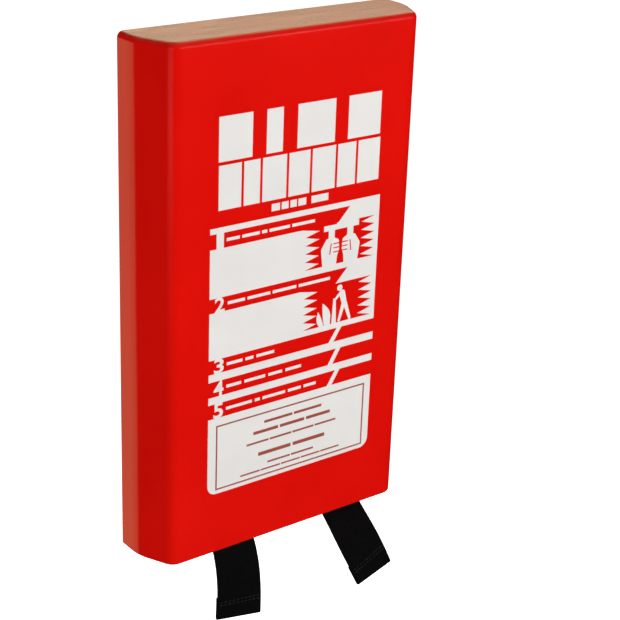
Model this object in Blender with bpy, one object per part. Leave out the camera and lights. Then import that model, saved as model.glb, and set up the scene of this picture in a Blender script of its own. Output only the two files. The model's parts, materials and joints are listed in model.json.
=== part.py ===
"""A wall-hung fire blanket in a moulded case, modelled in metres with +Z up.

The origin is the centre of the wall face. The front of the case looks along -Y, and the mouth that the
folded blanket is pulled out of is open along -Z.
"""

import math

import bmesh
import bpy
from mathutils import Matrix, Vector

# Case
CASE_WIDTH = 0.180
CASE_HEIGHT = 0.300
CASE_DEPTH = 0.038
COVER_WALL = 0.002
FLANK_WIDTH = 0.0101  # how far each slanting flank runs in from the side
FLANK_DEPTH = 0.0217  # how far it runs back from the front
FRONT_CORNER_RADIUS = 0.004
SIDE_CORNER_RADIUS = 0.030
TOP_EDGE_RADIUS = 0.003
RIM_EDGE_RADIUS = 0.0008
ARC_STEPS = 6

# Back plate
PLATE_THICKNESS = 0.002
FIT_GAP = 0.0003
PLATE_CORNER_RADIUS = 0.0015
SCREW_HEAD_ROOM = 0.0069  # between the plate and the folded blanket
RIB_THICKNESS = 0.0015
RIB_PLACES = (-0.060, -0.020, 0.020, 0.060)
RIB_FOOT_ROOM = 0.012  # above the mouth
KEYHOLE_PLACES = (-0.040, 0.040)
KEYHOLE_DROP = 0.045  # below the top of the case
KEYHOLE_RADIUS = 0.00475
KEYHOLE_SLOT_RADIUS = 0.0023
KEYHOLE_SLOT_RISE = 0.010

# Snap hooks of the plate and the catches inside the cover
CATCH_PLACES = (-0.085, 0.085)
CATCH_LENGTH = 0.018
CATCH_REACH = 0.0009
CATCH_THICKNESS = 0.0010
CATCH_FROM_WALL_FACE = 0.0065
HOOK_LENGTH = 0.013
HOOK_THICKNESS = 0.0012
HOOK_NOSE = 0.0022

# Folded blanket
PACK_SIDE_ROOM = 0.019
PACK_TOP_ROOM = 0.016
MOUTH_RECESS = 0.005
PACK_EDGE_RADIUS = 0.0026

# Pull tapes
TAPE_WIDTH = 0.029
TAPE_THICKNESS = 0.0013
TAPE_WALL_ROOM = 0.0012  # between the front wall and a tape
TAPE_RUN_LENGTH = 0.072  # the part inside the case
TAPE_EXIT_DROP = 0.0015  # below the mouth, where a tape bends
TAPE_HEM_LENGTH = 0.014
TAPE_STATIONS = 16

# Each tape: its centre across the case, its free length, and how it hangs. The leans are angles
# from straight down at the bend, at the middle and at the end of the free length.
TAPES = {
    "left": {
        "centre": -0.0356,
        "length": 0.0443,
        "forward": (28.0, 10.5, 7.0),
        "sideways": (0.0, -2.4, -6.4),
        "turn": 8.0,
    },
    "right": {
        "centre": 0.0441,
        "length": 0.0480,
        "forward": (52.0, 19.5, 28.0),
        "sideways": (0.0, 20.5, 12.0),
        "turn": -1.0,
    },
}

# Seams
SEAM_SIDE = 0.022
SEAM_LINE = 0.0014
SEAM_THICKNESS = 0.0004
SEAM_FROM_TAPE_TOP = 0.016
HEM_SEAM_LENGTH = 0.024
HEM_SEAM_UP = 0.009  # from the free end

FRONT_Y = -CASE_DEPTH
TOP_Z = CASE_HEIGHT / 2
MOUTH_Z = -CASE_HEIGHT / 2
INSIDE_FRONT_Y = FRONT_Y + COVER_WALL
TAPE_Y = INSIDE_FRONT_Y + TAPE_WALL_ROOM + TAPE_THICKNESS / 2
BEND_Z = MOUTH_Z - TAPE_EXIT_DROP
PACK_FRONT_Y = TAPE_Y + TAPE_THICKNESS / 2 + FIT_GAP
PACK_BACK_Y = -(PLATE_THICKNESS + SCREW_HEAD_ROOM + FIT_GAP)
PACK_BOTTOM_Z = MOUTH_Z + MOUTH_RECESS
PACK_TOP_Z = TOP_Z - COVER_WALL - PACK_TOP_ROOM
CUT_MARGIN = 0.002

COLOURS = {
    "red gloss ABS": ((0.73, 0.005, 0.003, 1.0), 0.12),
    "red moulded ABS": ((0.55, 0.006, 0.004, 1.0), 0.45),
    "glass fibre cloth": ((0.78, 0.76, 0.70, 1.0), 0.85),
    "black webbing": ((0.012, 0.011, 0.011, 1.0), 0.80),
    "black thread": ((0.020, 0.020, 0.020, 1.0), 0.70),
}


def clear_scene():
    for item in list(bpy.data.objects):
        bpy.data.objects.remove(item, do_unlink=True)


def material(name):
    found = bpy.data.materials.get(name)
    if found:
        return found
    colour, roughness = COLOURS[name]
    made = bpy.data.materials.new(name)
    made.use_nodes = True
    shader = made.node_tree.nodes["Principled BSDF"]
    shader.inputs["Base Color"].default_value = colour
    shader.inputs["Roughness"].default_value = roughness
    shader.inputs["Metallic"].default_value = 0.0
    return made


def add_object(name, mesh_work, finish=None):
    """Makes an object from a bmesh, with its normals turned outwards."""
    bmesh.ops.recalc_face_normals(mesh_work, faces=mesh_work.faces)
    mesh = bpy.data.meshes.new(name)
    mesh_work.to_mesh(mesh)
    mesh_work.free()
    made = bpy.data.objects.new(name, mesh)
    bpy.context.scene.collection.objects.link(made)
    if finish:
        mesh.materials.append(material(finish))
    return made


def combine(target, tool, operation):
    """Unites target with tool or cuts it by tool, and removes tool."""
    step = target.modifiers.new(operation.title(), "BOOLEAN")
    step.operation = operation
    step.solver = "EXACT"
    step.object = tool
    bpy.context.view_layer.update()
    depsgraph = bpy.context.evaluated_depsgraph_get()
    result = bpy.data.meshes.new_from_object(target.evaluated_get(depsgraph))
    target.modifiers.remove(step)
    target.data = result
    bpy.data.objects.remove(tool, do_unlink=True)


def box(name, low, high, finish=None):
    work = bmesh.new()
    bmesh.ops.create_cube(work, size=1.0)
    size = Vector(high) - Vector(low)
    middle = (Vector(high) + Vector(low)) / 2
    for vertex in work.verts:
        vertex.co = Vector([vertex.co[i] * size[i] + middle[i] for i in range(3)])
    return add_object(name, work, finish)


def prism(name, outline, low, high, axis, finish=None):
    """Extrudes a closed outline of (u, v) points along axis, from low to high."""
    order = {"Z": lambda u, v, w: (u, v, w), "Y": lambda u, v, w: (u, w, v)}[axis]
    work = bmesh.new()
    floor = work.faces.new([work.verts.new(order(u, v, low)) for u, v in outline])
    grown = bmesh.ops.extrude_face_region(work, geom=[floor])
    tops = [item for item in grown["geom"] if isinstance(item, bmesh.types.BMVert)]
    bmesh.ops.translate(work, verts=tops, vec=order(0.0, 0.0, high - low))
    return add_object(name, work, finish)


def circle_points(centre, radius, steps):
    turns = [2 * math.pi * i / steps for i in range(steps)]
    return [(centre[0] + radius * math.cos(t), centre[1] + radius * math.sin(t)) for t in turns]


def rounded(corners, steps=ARC_STEPS):
    """Turns a list of (point, radius) into an outline whose corners are arcs."""
    outline = []
    for i, (point, radius) in enumerate(corners):
        here = Vector(point)
        if radius <= 0:
            outline.append(tuple(here))
            continue
        before = (Vector(corners[i - 1][0]) - here).normalized()
        after = (Vector(corners[(i + 1) % len(corners)][0]) - here).normalized()
        half_angle = before.angle(after) / 2
        reach = radius / math.tan(half_angle)
        middle = here + (before + after).normalized() * radius / math.sin(half_angle)
        start = here + before * reach - middle
        end = here + after * reach - middle
        sweep = start.angle_signed(end)
        for step in range(steps + 1):
            turn = -sweep * step / steps
            cos_turn, sin_turn = math.cos(turn), math.sin(turn)
            spoke = (start.x * cos_turn - start.y * sin_turn, start.x * sin_turn + start.y * cos_turn)
            outline.append((middle.x + spoke[0], middle.y + spoke[1]))
    return outline


def case_section(inset, back_y):
    """The case seen from above, moved inwards by inset and closed at back_y."""
    side_x = CASE_WIDTH / 2 - inset
    front_y = FRONT_Y + inset
    run = Vector((FLANK_WIDTH, FLANK_DEPTH)).normalized()
    inward = Vector((-run.y, run.x)) * inset
    on_flank = Vector((CASE_WIDTH / 2 - FLANK_WIDTH, FRONT_Y)) + inward
    front_x = on_flank.x + (front_y - on_flank.y) * run.x / run.y
    flank_back_y = on_flank.y + (side_x - on_flank.x) * run.y / run.x
    right = [
        ((front_x, front_y), FRONT_CORNER_RADIUS - inset),
        ((side_x, flank_back_y), SIDE_CORNER_RADIUS - inset),
        ((side_x, back_y), 0.0),
    ]
    left = [((-x, y), radius) for (x, y), radius in reversed(right)]
    return rounded(right + left)


def round_edges(shell, level_z, back_y, radius, steps):
    """Rounds the edges of a prism at one level, all but the straight one at the back."""
    work = bmesh.new()
    work.from_mesh(shell.data)
    chosen = []
    for edge in work.edges:
        on_level = all(abs(vertex.co.z - level_z) < 1e-6 for vertex in edge.verts)
        at_back = all(abs(vertex.co.y - back_y) < 1e-6 for vertex in edge.verts)
        if on_level and not at_back:
            chosen.append(edge)
    bmesh.ops.bevel(work, geom=chosen, offset=radius, segments=steps, profile=0.5, affect="EDGES")
    bmesh.ops.recalc_face_normals(work, faces=work.faces)
    work.to_mesh(shell.data)
    work.free()


def build_front_cover():
    """Moulded shell: front, flanks, sides and top in one, open at the back and at the mouth."""
    cover = prism("front_cover", case_section(0.0, 0.0), MOUTH_Z, TOP_Z, "Z", "red gloss ABS")
    round_edges(cover, TOP_Z, 0.0, TOP_EDGE_RADIUS, 4)
    round_edges(cover, MOUTH_Z, 0.0, RIM_EDGE_RADIUS, 2)
    inside_top = TOP_Z - COVER_WALL
    hollow = prism("hollow", case_section(COVER_WALL, CUT_MARGIN), MOUTH_Z - CUT_MARGIN, inside_top, "Z")
    round_edges(hollow, inside_top, CUT_MARGIN, TOP_EDGE_RADIUS - COVER_WALL, 2)
    combine(cover, hollow, "DIFFERENCE")
    wall_x = CASE_WIDTH / 2 - COVER_WALL
    for side in (-1, 1):
        for height in CATCH_PLACES:
            inner, outer = sorted((side * (wall_x - CATCH_REACH), side * (wall_x + COVER_WALL / 2)))
            catch = box(
                "catch",
                (inner, -CATCH_FROM_WALL_FACE - CATCH_THICKNESS, height - CATCH_LENGTH / 2),
                (outer, -CATCH_FROM_WALL_FACE, height + CATCH_LENGTH / 2),
            )
            combine(cover, catch, "UNION")
    smooth(cover)
    return cover


def cut_keyhole(plate, centre_x):
    centre_z = TOP_Z - KEYHOLE_DROP
    slot_top = centre_z + KEYHOLE_SLOT_RISE
    deep, shallow = -PLATE_THICKNESS - CUT_MARGIN, CUT_MARGIN
    entry = prism("entry", circle_points((centre_x, centre_z), KEYHOLE_RADIUS, 28), deep, shallow, "Y")
    combine(plate, entry, "DIFFERENCE")
    half_circle = [math.pi * i / 12 for i in range(13)]
    slot_outline = [
        (centre_x + KEYHOLE_SLOT_RADIUS * math.cos(t), slot_top + KEYHOLE_SLOT_RADIUS * math.sin(t))
        for t in half_circle
    ]
    slot_outline += [(centre_x - KEYHOLE_SLOT_RADIUS, centre_z), (centre_x + KEYHOLE_SLOT_RADIUS, centre_z)]
    slot = prism("slot", slot_outline, deep, shallow, "Y")
    combine(plate, slot, "DIFFERENCE")


def add_hook(plate, side, height):
    """A springy tongue along the side wall, with a nose that sits in front of the cover's catch."""
    wall_x = CASE_WIDTH / 2 - COVER_WALL
    tongue_x = wall_x - CATCH_REACH - FIT_GAP
    nose_back = -CATCH_FROM_WALL_FACE - CATCH_THICKNESS - FIT_GAP
    nose_tip = nose_back - HOOK_NOSE
    root_y = -PLATE_THICKNESS / 2
    profile = [
        (side * (tongue_x - HOOK_THICKNESS), root_y),
        (side * tongue_x, root_y),
        (side * tongue_x, nose_back),
        (side * (wall_x - FIT_GAP), nose_back),
        (side * tongue_x, nose_tip),
        (side * (tongue_x - HOOK_THICKNESS), nose_tip),
    ]
    hook = prism("hook", profile, height - HOOK_LENGTH / 2, height + HOOK_LENGTH / 2, "Z")
    combine(plate, hook, "UNION")


def build_back_plate():
    """Flat wall plate with stiffening ribs, two keyholes for wall screws and four snap hooks."""
    half_width = CASE_WIDTH / 2 - COVER_WALL - FIT_GAP
    top = TOP_Z - COVER_WALL - FIT_GAP
    corners = [
        ((-half_width, MOUTH_Z), 0.0),
        ((half_width, MOUTH_Z), 0.0),
        ((half_width, top), PLATE_CORNER_RADIUS),
        ((-half_width, top), PLATE_CORNER_RADIUS),
    ]
    plate = prism("back_plate", rounded(corners, 3), -PLATE_THICKNESS, 0.0, "Y", "red moulded ABS")
    rib_front = -PLATE_THICKNESS - SCREW_HEAD_ROOM
    for centre_x in RIB_PLACES:
        rib = box(
            "rib",
            (centre_x - RIB_THICKNESS / 2, rib_front, MOUTH_Z + RIB_FOOT_ROOM),
            (centre_x + RIB_THICKNESS / 2, -PLATE_THICKNESS / 2, PACK_TOP_Z),
        )
        combine(plate, rib, "UNION")
    for side in (-1, 1):
        for height in CATCH_PLACES:
            add_hook(plate, side, height)
    for centre_x in KEYHOLE_PLACES:
        cut_keyhole(plate, centre_x)
    smooth(plate)
    return plate


def build_blanket():
    """The folded cloth as one plain block with soft edges."""
    half_width = CASE_WIDTH / 2 - COVER_WALL - PACK_SIDE_ROOM
    pack = box(
        "blanket_cloth",
        (-half_width, PACK_FRONT_Y, PACK_BOTTOM_Z),
        (half_width, PACK_BACK_Y, PACK_TOP_Z),
        "glass fibre cloth",
    )
    edges = pack.modifiers.new("Soft edges", "BEVEL")
    edges.width = PACK_EDGE_RADIUS
    edges.segments = 3
    edges.limit_method = "NONE"
    smooth(pack)
    return pack


def through(values, share):
    """A smooth value that is values[0] at share 0, values[1] at a half and values[2] at 1."""
    start, middle, end = values
    return (
        start * (1 - share) * (1 - 2 * share)
        + 4 * middle * share * (1 - share)
        + end * share * (2 * share - 1)
    )


def tape_frames(tape):
    """Where the free length of a tape runs: a list of (point, along, across, normal)."""
    point = Vector((tape["centre"], TAPE_Y, BEND_Z))
    step = tape["length"] / TAPE_STATIONS
    frames = []
    last = None
    for station in range(TAPE_STATIONS + 1):
        share = station / TAPE_STATIONS
        forward = math.radians(through(tape["forward"], share))
        sideways = math.radians(through(tape["sideways"], share))
        turn = math.radians(through((0.0, tape["turn"] * 0.6, tape["turn"]), share))
        along = Vector(
            (
                math.sin(sideways),
                -math.sin(forward) * math.cos(sideways),
                -math.cos(forward) * math.cos(sideways),
            )
        )
        if last:
            point = point + (last + along) * step / 2
        across = Vector((math.cos(turn), -math.sin(turn), 0.0))
        across = (across - along * across.dot(along)).normalized()
        frames.append((point.copy(), along, across, across.cross(along)))
        last = along
    return frames


def loft(name, rings, finish):
    """Joins rings of four corners each into one closed strap."""
    work = bmesh.new()
    rows = [[work.verts.new(corner) for corner in ring] for ring in rings]
    for before, after in zip(rows, rows[1:]):
        for i in range(4):
            work.faces.new((before[i], before[(i + 1) % 4], after[(i + 1) % 4], after[i]))
    work.faces.new(rows[0])
    work.faces.new(rows[-1])
    return add_object(name, work, finish)


def strap_ring(point, across, normal, width, front, back):
    """The four corners of a strap's section; front and back are its faces' distances from point."""
    half = across * width / 2
    return [
        point - half - normal * front,
        point + half - normal * front,
        point + half + normal * back,
        point - half + normal * back,
    ]


def build_pull_tape(side, tape):
    """The free length of webbing, with its end folded back and sewn into a hem.

    Its upper end is round about the bend, so that it can swing there.
    """
    half = TAPE_THICKNESS / 2
    frames = tape_frames(tape)
    start, along, across, normal = frames[0]
    rings = []
    for step in range(1, 4):
        angle = math.pi / 2 * step / 4
        depth = half * math.sin(angle)
        above = start - along * half * math.cos(angle)
        rings.append(strap_ring(above, across, normal, TAPE_WIDTH, depth, depth))
    hem_start = 1 - TAPE_HEM_LENGTH / tape["length"]
    for station, (point, along, across, normal) in enumerate(frames):
        in_hem = station / TAPE_STATIONS > hem_start
        back = half + (TAPE_THICKNESS if in_hem else 0.0)
        rings.append(strap_ring(point, across, normal, TAPE_WIDTH, half, back))
    made = loft("pull_tape_" + side, rings, "black webbing")
    smooth(made)
    return made


def build_tape_run(side, tape):
    """The part of the webbing inside the case, from the bend up to the seam on the blanket."""
    half_width = TAPE_WIDTH / 2
    half = TAPE_THICKNESS / 2
    bottom = BEND_Z + half + FIT_GAP
    return box(
        "tape_run_" + side,
        (tape["centre"] - half_width, TAPE_Y - half, bottom),
        (tape["centre"] + half_width, TAPE_Y + half, bottom + TAPE_RUN_LENGTH),
        "black webbing",
    )


def build_box_seam(side, tape):
    """Thread sewn as a square with a cross, holding the tape to the blanket."""
    centre_x = tape["centre"]
    centre_z = BEND_Z + TAPE_RUN_LENGTH - SEAM_FROM_TAPE_TOP
    back_y = TAPE_Y - TAPE_THICKNESS / 2 - FIT_GAP
    half = SEAM_SIDE / 2
    seam = box(
        "blanket_seam_" + side,
        (centre_x - half, back_y - SEAM_THICKNESS, centre_z - half),
        (centre_x + half, back_y, centre_z + half),
        "black thread",
    )
    base = half - SEAM_LINE
    base_half = base - SEAM_LINE * 0.7
    tip = SEAM_LINE * 0.7
    window = ((-base_half, base), (base_half, base), (0.0, tip))
    for quarter in range(4):
        turn = math.pi / 2 * quarter
        outline = [
            (
                centre_x + u * math.cos(turn) - v * math.sin(turn),
                centre_z + u * math.sin(turn) + v * math.cos(turn),
            )
            for u, v in window
        ]
        gap = prism("gap", outline, back_y - SEAM_THICKNESS - CUT_MARGIN, back_y + CUT_MARGIN, "Y")
        combine(seam, gap, "DIFFERENCE")
    return seam


def build_hem_seam(side, tape):
    """The row of thread that closes the hem at a tape's free end."""
    frames = tape_frames(tape)
    station = round((1 - HEM_SEAM_UP / tape["length"]) * TAPE_STATIONS)
    point, along, across, normal = frames[station]
    front = TAPE_THICKNESS / 2 + FIT_GAP
    rings = []
    for reach in (-SEAM_LINE / 2, SEAM_LINE / 2):
        ring_point = point + along * reach
        rings.append(
            strap_ring(ring_point, across, normal, HEM_SEAM_LENGTH, front + SEAM_THICKNESS, -front)
        )
    return loft("hem_seam_" + side, rings, "black thread")


def smooth(item):
    item.data.shade_smooth()
    item.data.set_sharp_from_angle(angle=math.radians(35))


def group(name, place, pieces, parent=None):
    """Parents pieces to an empty at place, without moving them."""
    empty = bpy.data.objects.new(name, None)
    bpy.context.scene.collection.objects.link(empty)
    empty.location = place
    if parent:
        empty.parent = parent
        empty.location = Vector(place) - parent.location
    for piece in pieces:
        piece.data.transform(Matrix.Translation(-Vector(place)))
        piece.parent = empty
    return empty


def main():
    clear_scene()
    group("case", (0.0, 0.0, 0.0), [build_front_cover(), build_back_plate()])
    inside = [build_blanket()]
    for side, tape in TAPES.items():
        inside.append(build_tape_run(side, tape))
        inside.append(build_box_seam(side, tape))
    blanket = group("blanket", (0.0, 0.0, 0.0), inside)
    for side, tape in TAPES.items():
        bend = (tape["centre"], TAPE_Y, BEND_Z)
        group(side + "_tape", bend, [build_pull_tape(side, tape), build_hem_seam(side, tape)], blanket)


main()
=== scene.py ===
"""The looks of a wall-hung fire blanket: a red moulded case, the folded cloth in it and its two pull tapes.

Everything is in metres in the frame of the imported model: the origin is the centre of the wall face, the
front looks along -Y, and the mouth that the cloth is pulled out of is open along -Z.
"""

import json
import math

import bmesh
import bpy
from mathutils import Matrix, Quaternion, Vector


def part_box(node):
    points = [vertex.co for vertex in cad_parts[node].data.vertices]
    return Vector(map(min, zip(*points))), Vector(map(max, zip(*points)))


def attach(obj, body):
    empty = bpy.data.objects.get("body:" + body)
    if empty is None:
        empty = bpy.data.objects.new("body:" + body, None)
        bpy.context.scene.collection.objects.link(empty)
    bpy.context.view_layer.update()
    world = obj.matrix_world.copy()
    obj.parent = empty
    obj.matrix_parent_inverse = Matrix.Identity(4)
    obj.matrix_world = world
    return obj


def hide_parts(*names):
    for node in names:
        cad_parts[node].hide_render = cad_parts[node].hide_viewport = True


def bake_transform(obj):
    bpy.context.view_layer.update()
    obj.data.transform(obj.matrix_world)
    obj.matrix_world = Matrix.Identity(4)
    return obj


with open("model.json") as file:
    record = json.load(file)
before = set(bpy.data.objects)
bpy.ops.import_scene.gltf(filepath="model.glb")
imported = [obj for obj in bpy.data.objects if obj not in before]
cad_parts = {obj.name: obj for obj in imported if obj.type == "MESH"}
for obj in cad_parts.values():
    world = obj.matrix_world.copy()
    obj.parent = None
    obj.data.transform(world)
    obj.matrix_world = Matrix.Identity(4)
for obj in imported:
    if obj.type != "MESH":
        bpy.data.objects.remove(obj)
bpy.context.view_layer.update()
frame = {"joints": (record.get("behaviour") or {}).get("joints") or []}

bl_info = {
    "name": "Fire Blanket Case",
    "version": (1, 0, 0),
    "blender": (4, 5, 0),
    "location": "3D View > Sidebar > Fire Blanket",
    "description": "Builds a wall-hung fire blanket piece by piece around its packed frame",
    "category": "Object",
}

SIDES = ("left", "right")
MM = 0.001
SMOOTH_ANGLE = math.radians(35)
CUT_MARGIN = 0.002  # how far a cutting tool reaches past what it cuts
# Sockets of a Mix node, which it can't be asked for by name
NUMBER_A, NUMBER_B = 2, 3
COLOUR_A, COLOUR_B, COLOUR_MIXED = 6, 7, 2

# Places read from the frame
COVER_LOW, COVER_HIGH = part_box("front_cover")
PLATE_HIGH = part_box("back_plate")[1]
PACK_LOW, PACK_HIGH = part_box("blanket_cloth")
RUNS = {side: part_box("tape_run_" + side) for side in SIDES}
BOX_SEAMS = {side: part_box("blanket_seam_" + side) for side in SIDES}
BENDS = {
    side: Vector(joint["pos_m"])
    for side in SIDES
    for joint in frame["joints"]
    if joint["name"] == side + "_tape_bend"
}
FRONT_Y = COVER_LOW.y
HALF_WIDTH = COVER_HIGH.x
TOP_Z = COVER_HIGH.z
MOUTH_Z = COVER_LOW.z


def linear(code):
    """An sRGB hex colour, such as #C81414, as linear red, green, blue and alpha."""
    parts = [int(code[i : i + 2], 16) / 255 for i in (1, 3, 5)]
    return (*[c / 12.92 if c <= 0.04045 else ((c + 0.055) / 1.055) ** 2.4 for c in parts], 1.0)


def size(name, description, value):
    """A length in metres that a user can change."""
    return bpy.props.FloatProperty(
        name=name, description=description, default=value, min=0.0, precision=5, unit="LENGTH"
    )


def shade(name, description, code):
    """A colour that a user can change, given as an sRGB hex code."""
    return bpy.props.FloatVectorProperty(
        name=name, description=description, default=linear(code), size=4, min=0.0, max=1.0, subtype="COLOR"
    )


def lean(name, description, degrees):
    """Three angles: at the bend, halfway and at the free end of a tape."""
    turns = [math.radians(angle) for angle in degrees]
    return bpy.props.FloatVectorProperty(
        name=name, description=description, default=turns, size=3, subtype="EULER", unit="ROTATION"
    )


class FireBlanketCase(bpy.types.PropertyGroup):
    """Sizes and colours of the moulded case."""

    wall: size("Wall", "Thickness of the moulded cover", 0.002)
    flank_width: size("Flank width", "How far a slanting flank runs in from the side", 0.0101)
    flank_depth: size("Flank depth", "How far a slanting flank runs back from the front", 0.0217)
    front_radius: size("Front corner", "Radius between the front and a flank", 0.008)
    side_radius: size("Side corner", "Radius between a flank and the side", 0.030)
    top_radius: size("Top edge", "Radius of the edge round the top", 0.0035)
    rim_radius: size("Rim edge", "Radius of the edge round the mouth", 0.0018)
    red: shade("Cover red", "Colour of the glossy cover", "#EF140B")
    red_deep: shade("Deep red", "Colour where the cover's pigment lies thicker", "#E30F08")
    # Partly painted reflection: besides the dust, this beige stands in for the warm light behind that the
    # top mirrors
    dust_and_reflection: shade("Dust and reflection", "Colour of the film of dust on the top", "#A79678")
    plate_red: shade("Plate red", "Colour of the textured back plate", "#C91A12")


class FireBlanketPrint(bpy.types.PropertyGroup):
    """The screen print on the front."""

    thickness: size("Ink", "How far the ink stands on the surface", 0.00006)
    white: shade("White ink", "Colour of the white print", "#F6F3EF")
    brown: shade("Second ink", "Colour of the print on the white box", "#A9503F")


class FireBlanketCloth(bpy.types.PropertyGroup):
    """The folded glass cloth."""

    side: size("Side", "Side of the square cloth before it is folded", 1.1)
    thickness: size("Thickness", "Thickness of the cloth", 0.00043)
    hem: size("Hem", "From the leading edge to its row of stitches", 0.012)
    light: shade("Raised yarn", "Colour on top of the yarns", "#EDE9DC")
    # Painted shade: the yarn colour darkened where it sinks between the crossing yarns
    painted_gap_shade: shade("Sunk yarn", "Colour between the yarns", "#B9B29E")


class FireBlanketTapes(bpy.types.PropertyGroup):
    """The two pull tapes of webbing and their stitches."""

    thickness: size("Thickness", "Thickness of the webbing", 0.0013)
    hem: size("Hem", "Length that is folded back at the free end", 0.014)
    stitch: size("Stitch", "Length of one stitch", 0.0026)
    thread: size("Thread", "Diameter of the sewing thread", 0.00042)
    left_length: size("Left length", "Length of the left tape below its bend", 0.0443)
    left_forward: lean("Left forward", "How far the left tape leans forward", (28.0, 10.5, 7.0))
    left_sideways: lean("Left sideways", "How far the left tape leans to the side", (0.0, -2.4, -6.4))
    left_turn: lean("Left turn", "How far the left tape twists", (0.0, 4.8, 8.0))
    right_length: size("Right length", "Length of the right tape below its bend", 0.048)
    right_forward: lean("Right forward", "How far the right tape leans forward", (52.0, 19.5, 28.0))
    right_sideways: lean("Right sideways", "How far the right tape leans to the side", (0.0, 20.5, 12.0))
    right_turn: lean("Right turn", "How far the right tape twists", (0.0, -0.6, -1.0))
    yarn: shade("Yarn", "Colour on top of the webbing's ribs", "#0E0D0D")
    # Painted shade: the black darkened further in the grooves between the ribs
    painted_groove_shade: shade("Groove", "Colour between the webbing's ribs", "#060505")
    stitches: shade("Stitches", "Colour of the sewing thread", "#0B0A0A")


class FireBlanketStage(bpy.types.PropertyGroup):
    """The floor, the lights and the camera."""

    floor_drop: size("Floor drop", "How far the floor lies below the case", 0.9)
    camera: bpy.props.FloatVectorProperty(
        name="Camera",
        description="Where the camera stands",
        default=(-0.5032, -0.6982, 0.3311),
        subtype="TRANSLATION",
        unit="LENGTH",
    )
    target: bpy.props.FloatVectorProperty(
        name="Target",
        description="The point at the middle of the picture",
        default=(-0.0254, -0.0854, 0.0121),
        subtype="TRANSLATION",
        unit="LENGTH",
    )
    roll: bpy.props.FloatProperty(
        name="Roll",
        description="How far the camera is turned about its own axis",
        default=math.radians(2.15),
        subtype="ANGLE",
    )
    lens: bpy.props.FloatProperty(
        name="Lens", description="Focal length in mm", default=92.92, min=1.0, unit="CAMERA"
    )
    floor: shade("Floor", "Colour of the floor", "#FAFAFA")


def add_node(tree, kind, settings=None, inputs=None):
    """Adds a node with its settings and its inputs.

    An input is a value, the output that feeds it, or a node whose first output feeds it.
    """
    node = tree.nodes.new(kind)
    for name, value in (settings or {}).items():
        setattr(node, name, value)
    for name, value in (inputs or {}).items():
        if isinstance(value, bpy.types.Node):
            value = value.outputs[0]
        if isinstance(value, bpy.types.NodeSocket):
            tree.links.new(value, node.inputs[name])
        else:
            node.inputs[name].default_value = value
    return node


def add_object(name, mesh_work, finish=None):
    """Makes an object at the origin from a bmesh."""
    mesh = bpy.data.meshes.new(name)
    mesh_work.to_mesh(mesh)
    mesh_work.free()
    made = bpy.data.objects.new(name, mesh)
    bpy.context.scene.collection.objects.link(made)
    if finish:
        mesh.materials.append(finish)
    return made


def settle(item):
    """Turns what an object's modifiers make into its own plain mesh."""
    bpy.context.view_layer.update()
    shaped = item.evaluated_get(bpy.context.evaluated_depsgraph_get())
    mesh = bpy.data.meshes.new_from_object(shaped)
    item.modifiers.clear()
    item.data = mesh
    mesh.name = item.name
    return item


def combine(target, tool, operation):
    """Unites target with tool or cuts it by tool, and removes tool."""
    step = target.modifiers.new(operation.title(), "BOOLEAN")
    step.operation = operation
    step.solver = "EXACT"
    step.object = tool
    settle(target)
    bpy.data.objects.remove(tool, do_unlink=True)
    return target


def box(name, low, high, finish=None):
    """A block between two opposite corners."""
    work = bmesh.new()
    bmesh.ops.create_cube(work, size=1.0)
    middle = (Vector(high) + Vector(low)) / 2
    reach = Vector(high) - Vector(low)
    for vertex in work.verts:
        vertex.co = Vector([vertex.co[i] * reach[i] + middle[i] for i in range(3)])
    return add_object(name, work, finish)


def prism(name, outline, low, high, axis, finish=None):
    """Extrudes a closed outline along Z, as (x, y) points, or along Y, as (x, z) points."""

    def placed(u, v, along):
        return (u, v, along) if axis == "Z" else (u, along, v)

    work = bmesh.new()
    floor = work.faces.new([work.verts.new(placed(u, v, low)) for u, v in outline])
    grown = bmesh.ops.extrude_face_region(work, geom=[floor])
    tops = [item for item in grown["geom"] if isinstance(item, bmesh.types.BMVert)]
    bmesh.ops.translate(work, verts=tops, vec=placed(0.0, 0.0, high - low))
    bmesh.ops.recalc_face_normals(work, faces=work.faces)
    return add_object(name, work, finish)


def arc(centre, radius, start, end, steps):
    """Points on an arc between two angles in degrees."""
    turns = [math.radians(start + (end - start) * i / steps) for i in range(steps + 1)]
    return [(centre[0] + radius * math.cos(t), centre[1] + radius * math.sin(t)) for t in turns]


def rounded(corners, steps):
    """Turns a list of (corner, radius) into an outline whose corners are arcs; 0 leaves a corner sharp."""
    outline = []
    for i, (point, radius) in enumerate(corners):
        here = Vector(point)
        if radius <= 0:
            outline.append(tuple(here))
            continue
        before = (Vector(corners[i - 1][0]) - here).normalized()
        after = (Vector(corners[(i + 1) % len(corners)][0]) - here).normalized()
        half_angle = before.angle(after) / 2
        reach = radius / math.tan(half_angle)
        middle = here + (before + after).normalized() * radius / math.sin(half_angle)
        start = here + before * reach - middle
        end = here + after * reach - middle
        sweep = start.angle_signed(end)
        for step in range(steps + 1):
            spoke = Matrix.Rotation(-sweep * step / steps, 2) @ start
            outline.append((middle.x + spoke.x, middle.y + spoke.y))
    return outline


def smooth(item):
    """Shades an item smooth, with flat faces that stay flat beside their rounded edges."""
    item.data.shade_smooth()
    item.data.set_sharp_from_angle(angle=SMOOTH_ANGLE)
    step = item.modifiers.new("Weighted normals", "WEIGHTED_NORMAL")
    step.keep_sharp = True
    return settle(item)


def through(values, share):
    """A smooth value that is values[0] at share 0, values[1] at a half and values[2] at 1."""
    start, middle, end = values
    return (
        start * (1 - share) * (1 - 2 * share)
        + 4 * middle * share * (1 - share)
        + end * share * (2 * share - 1)
    )


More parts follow.
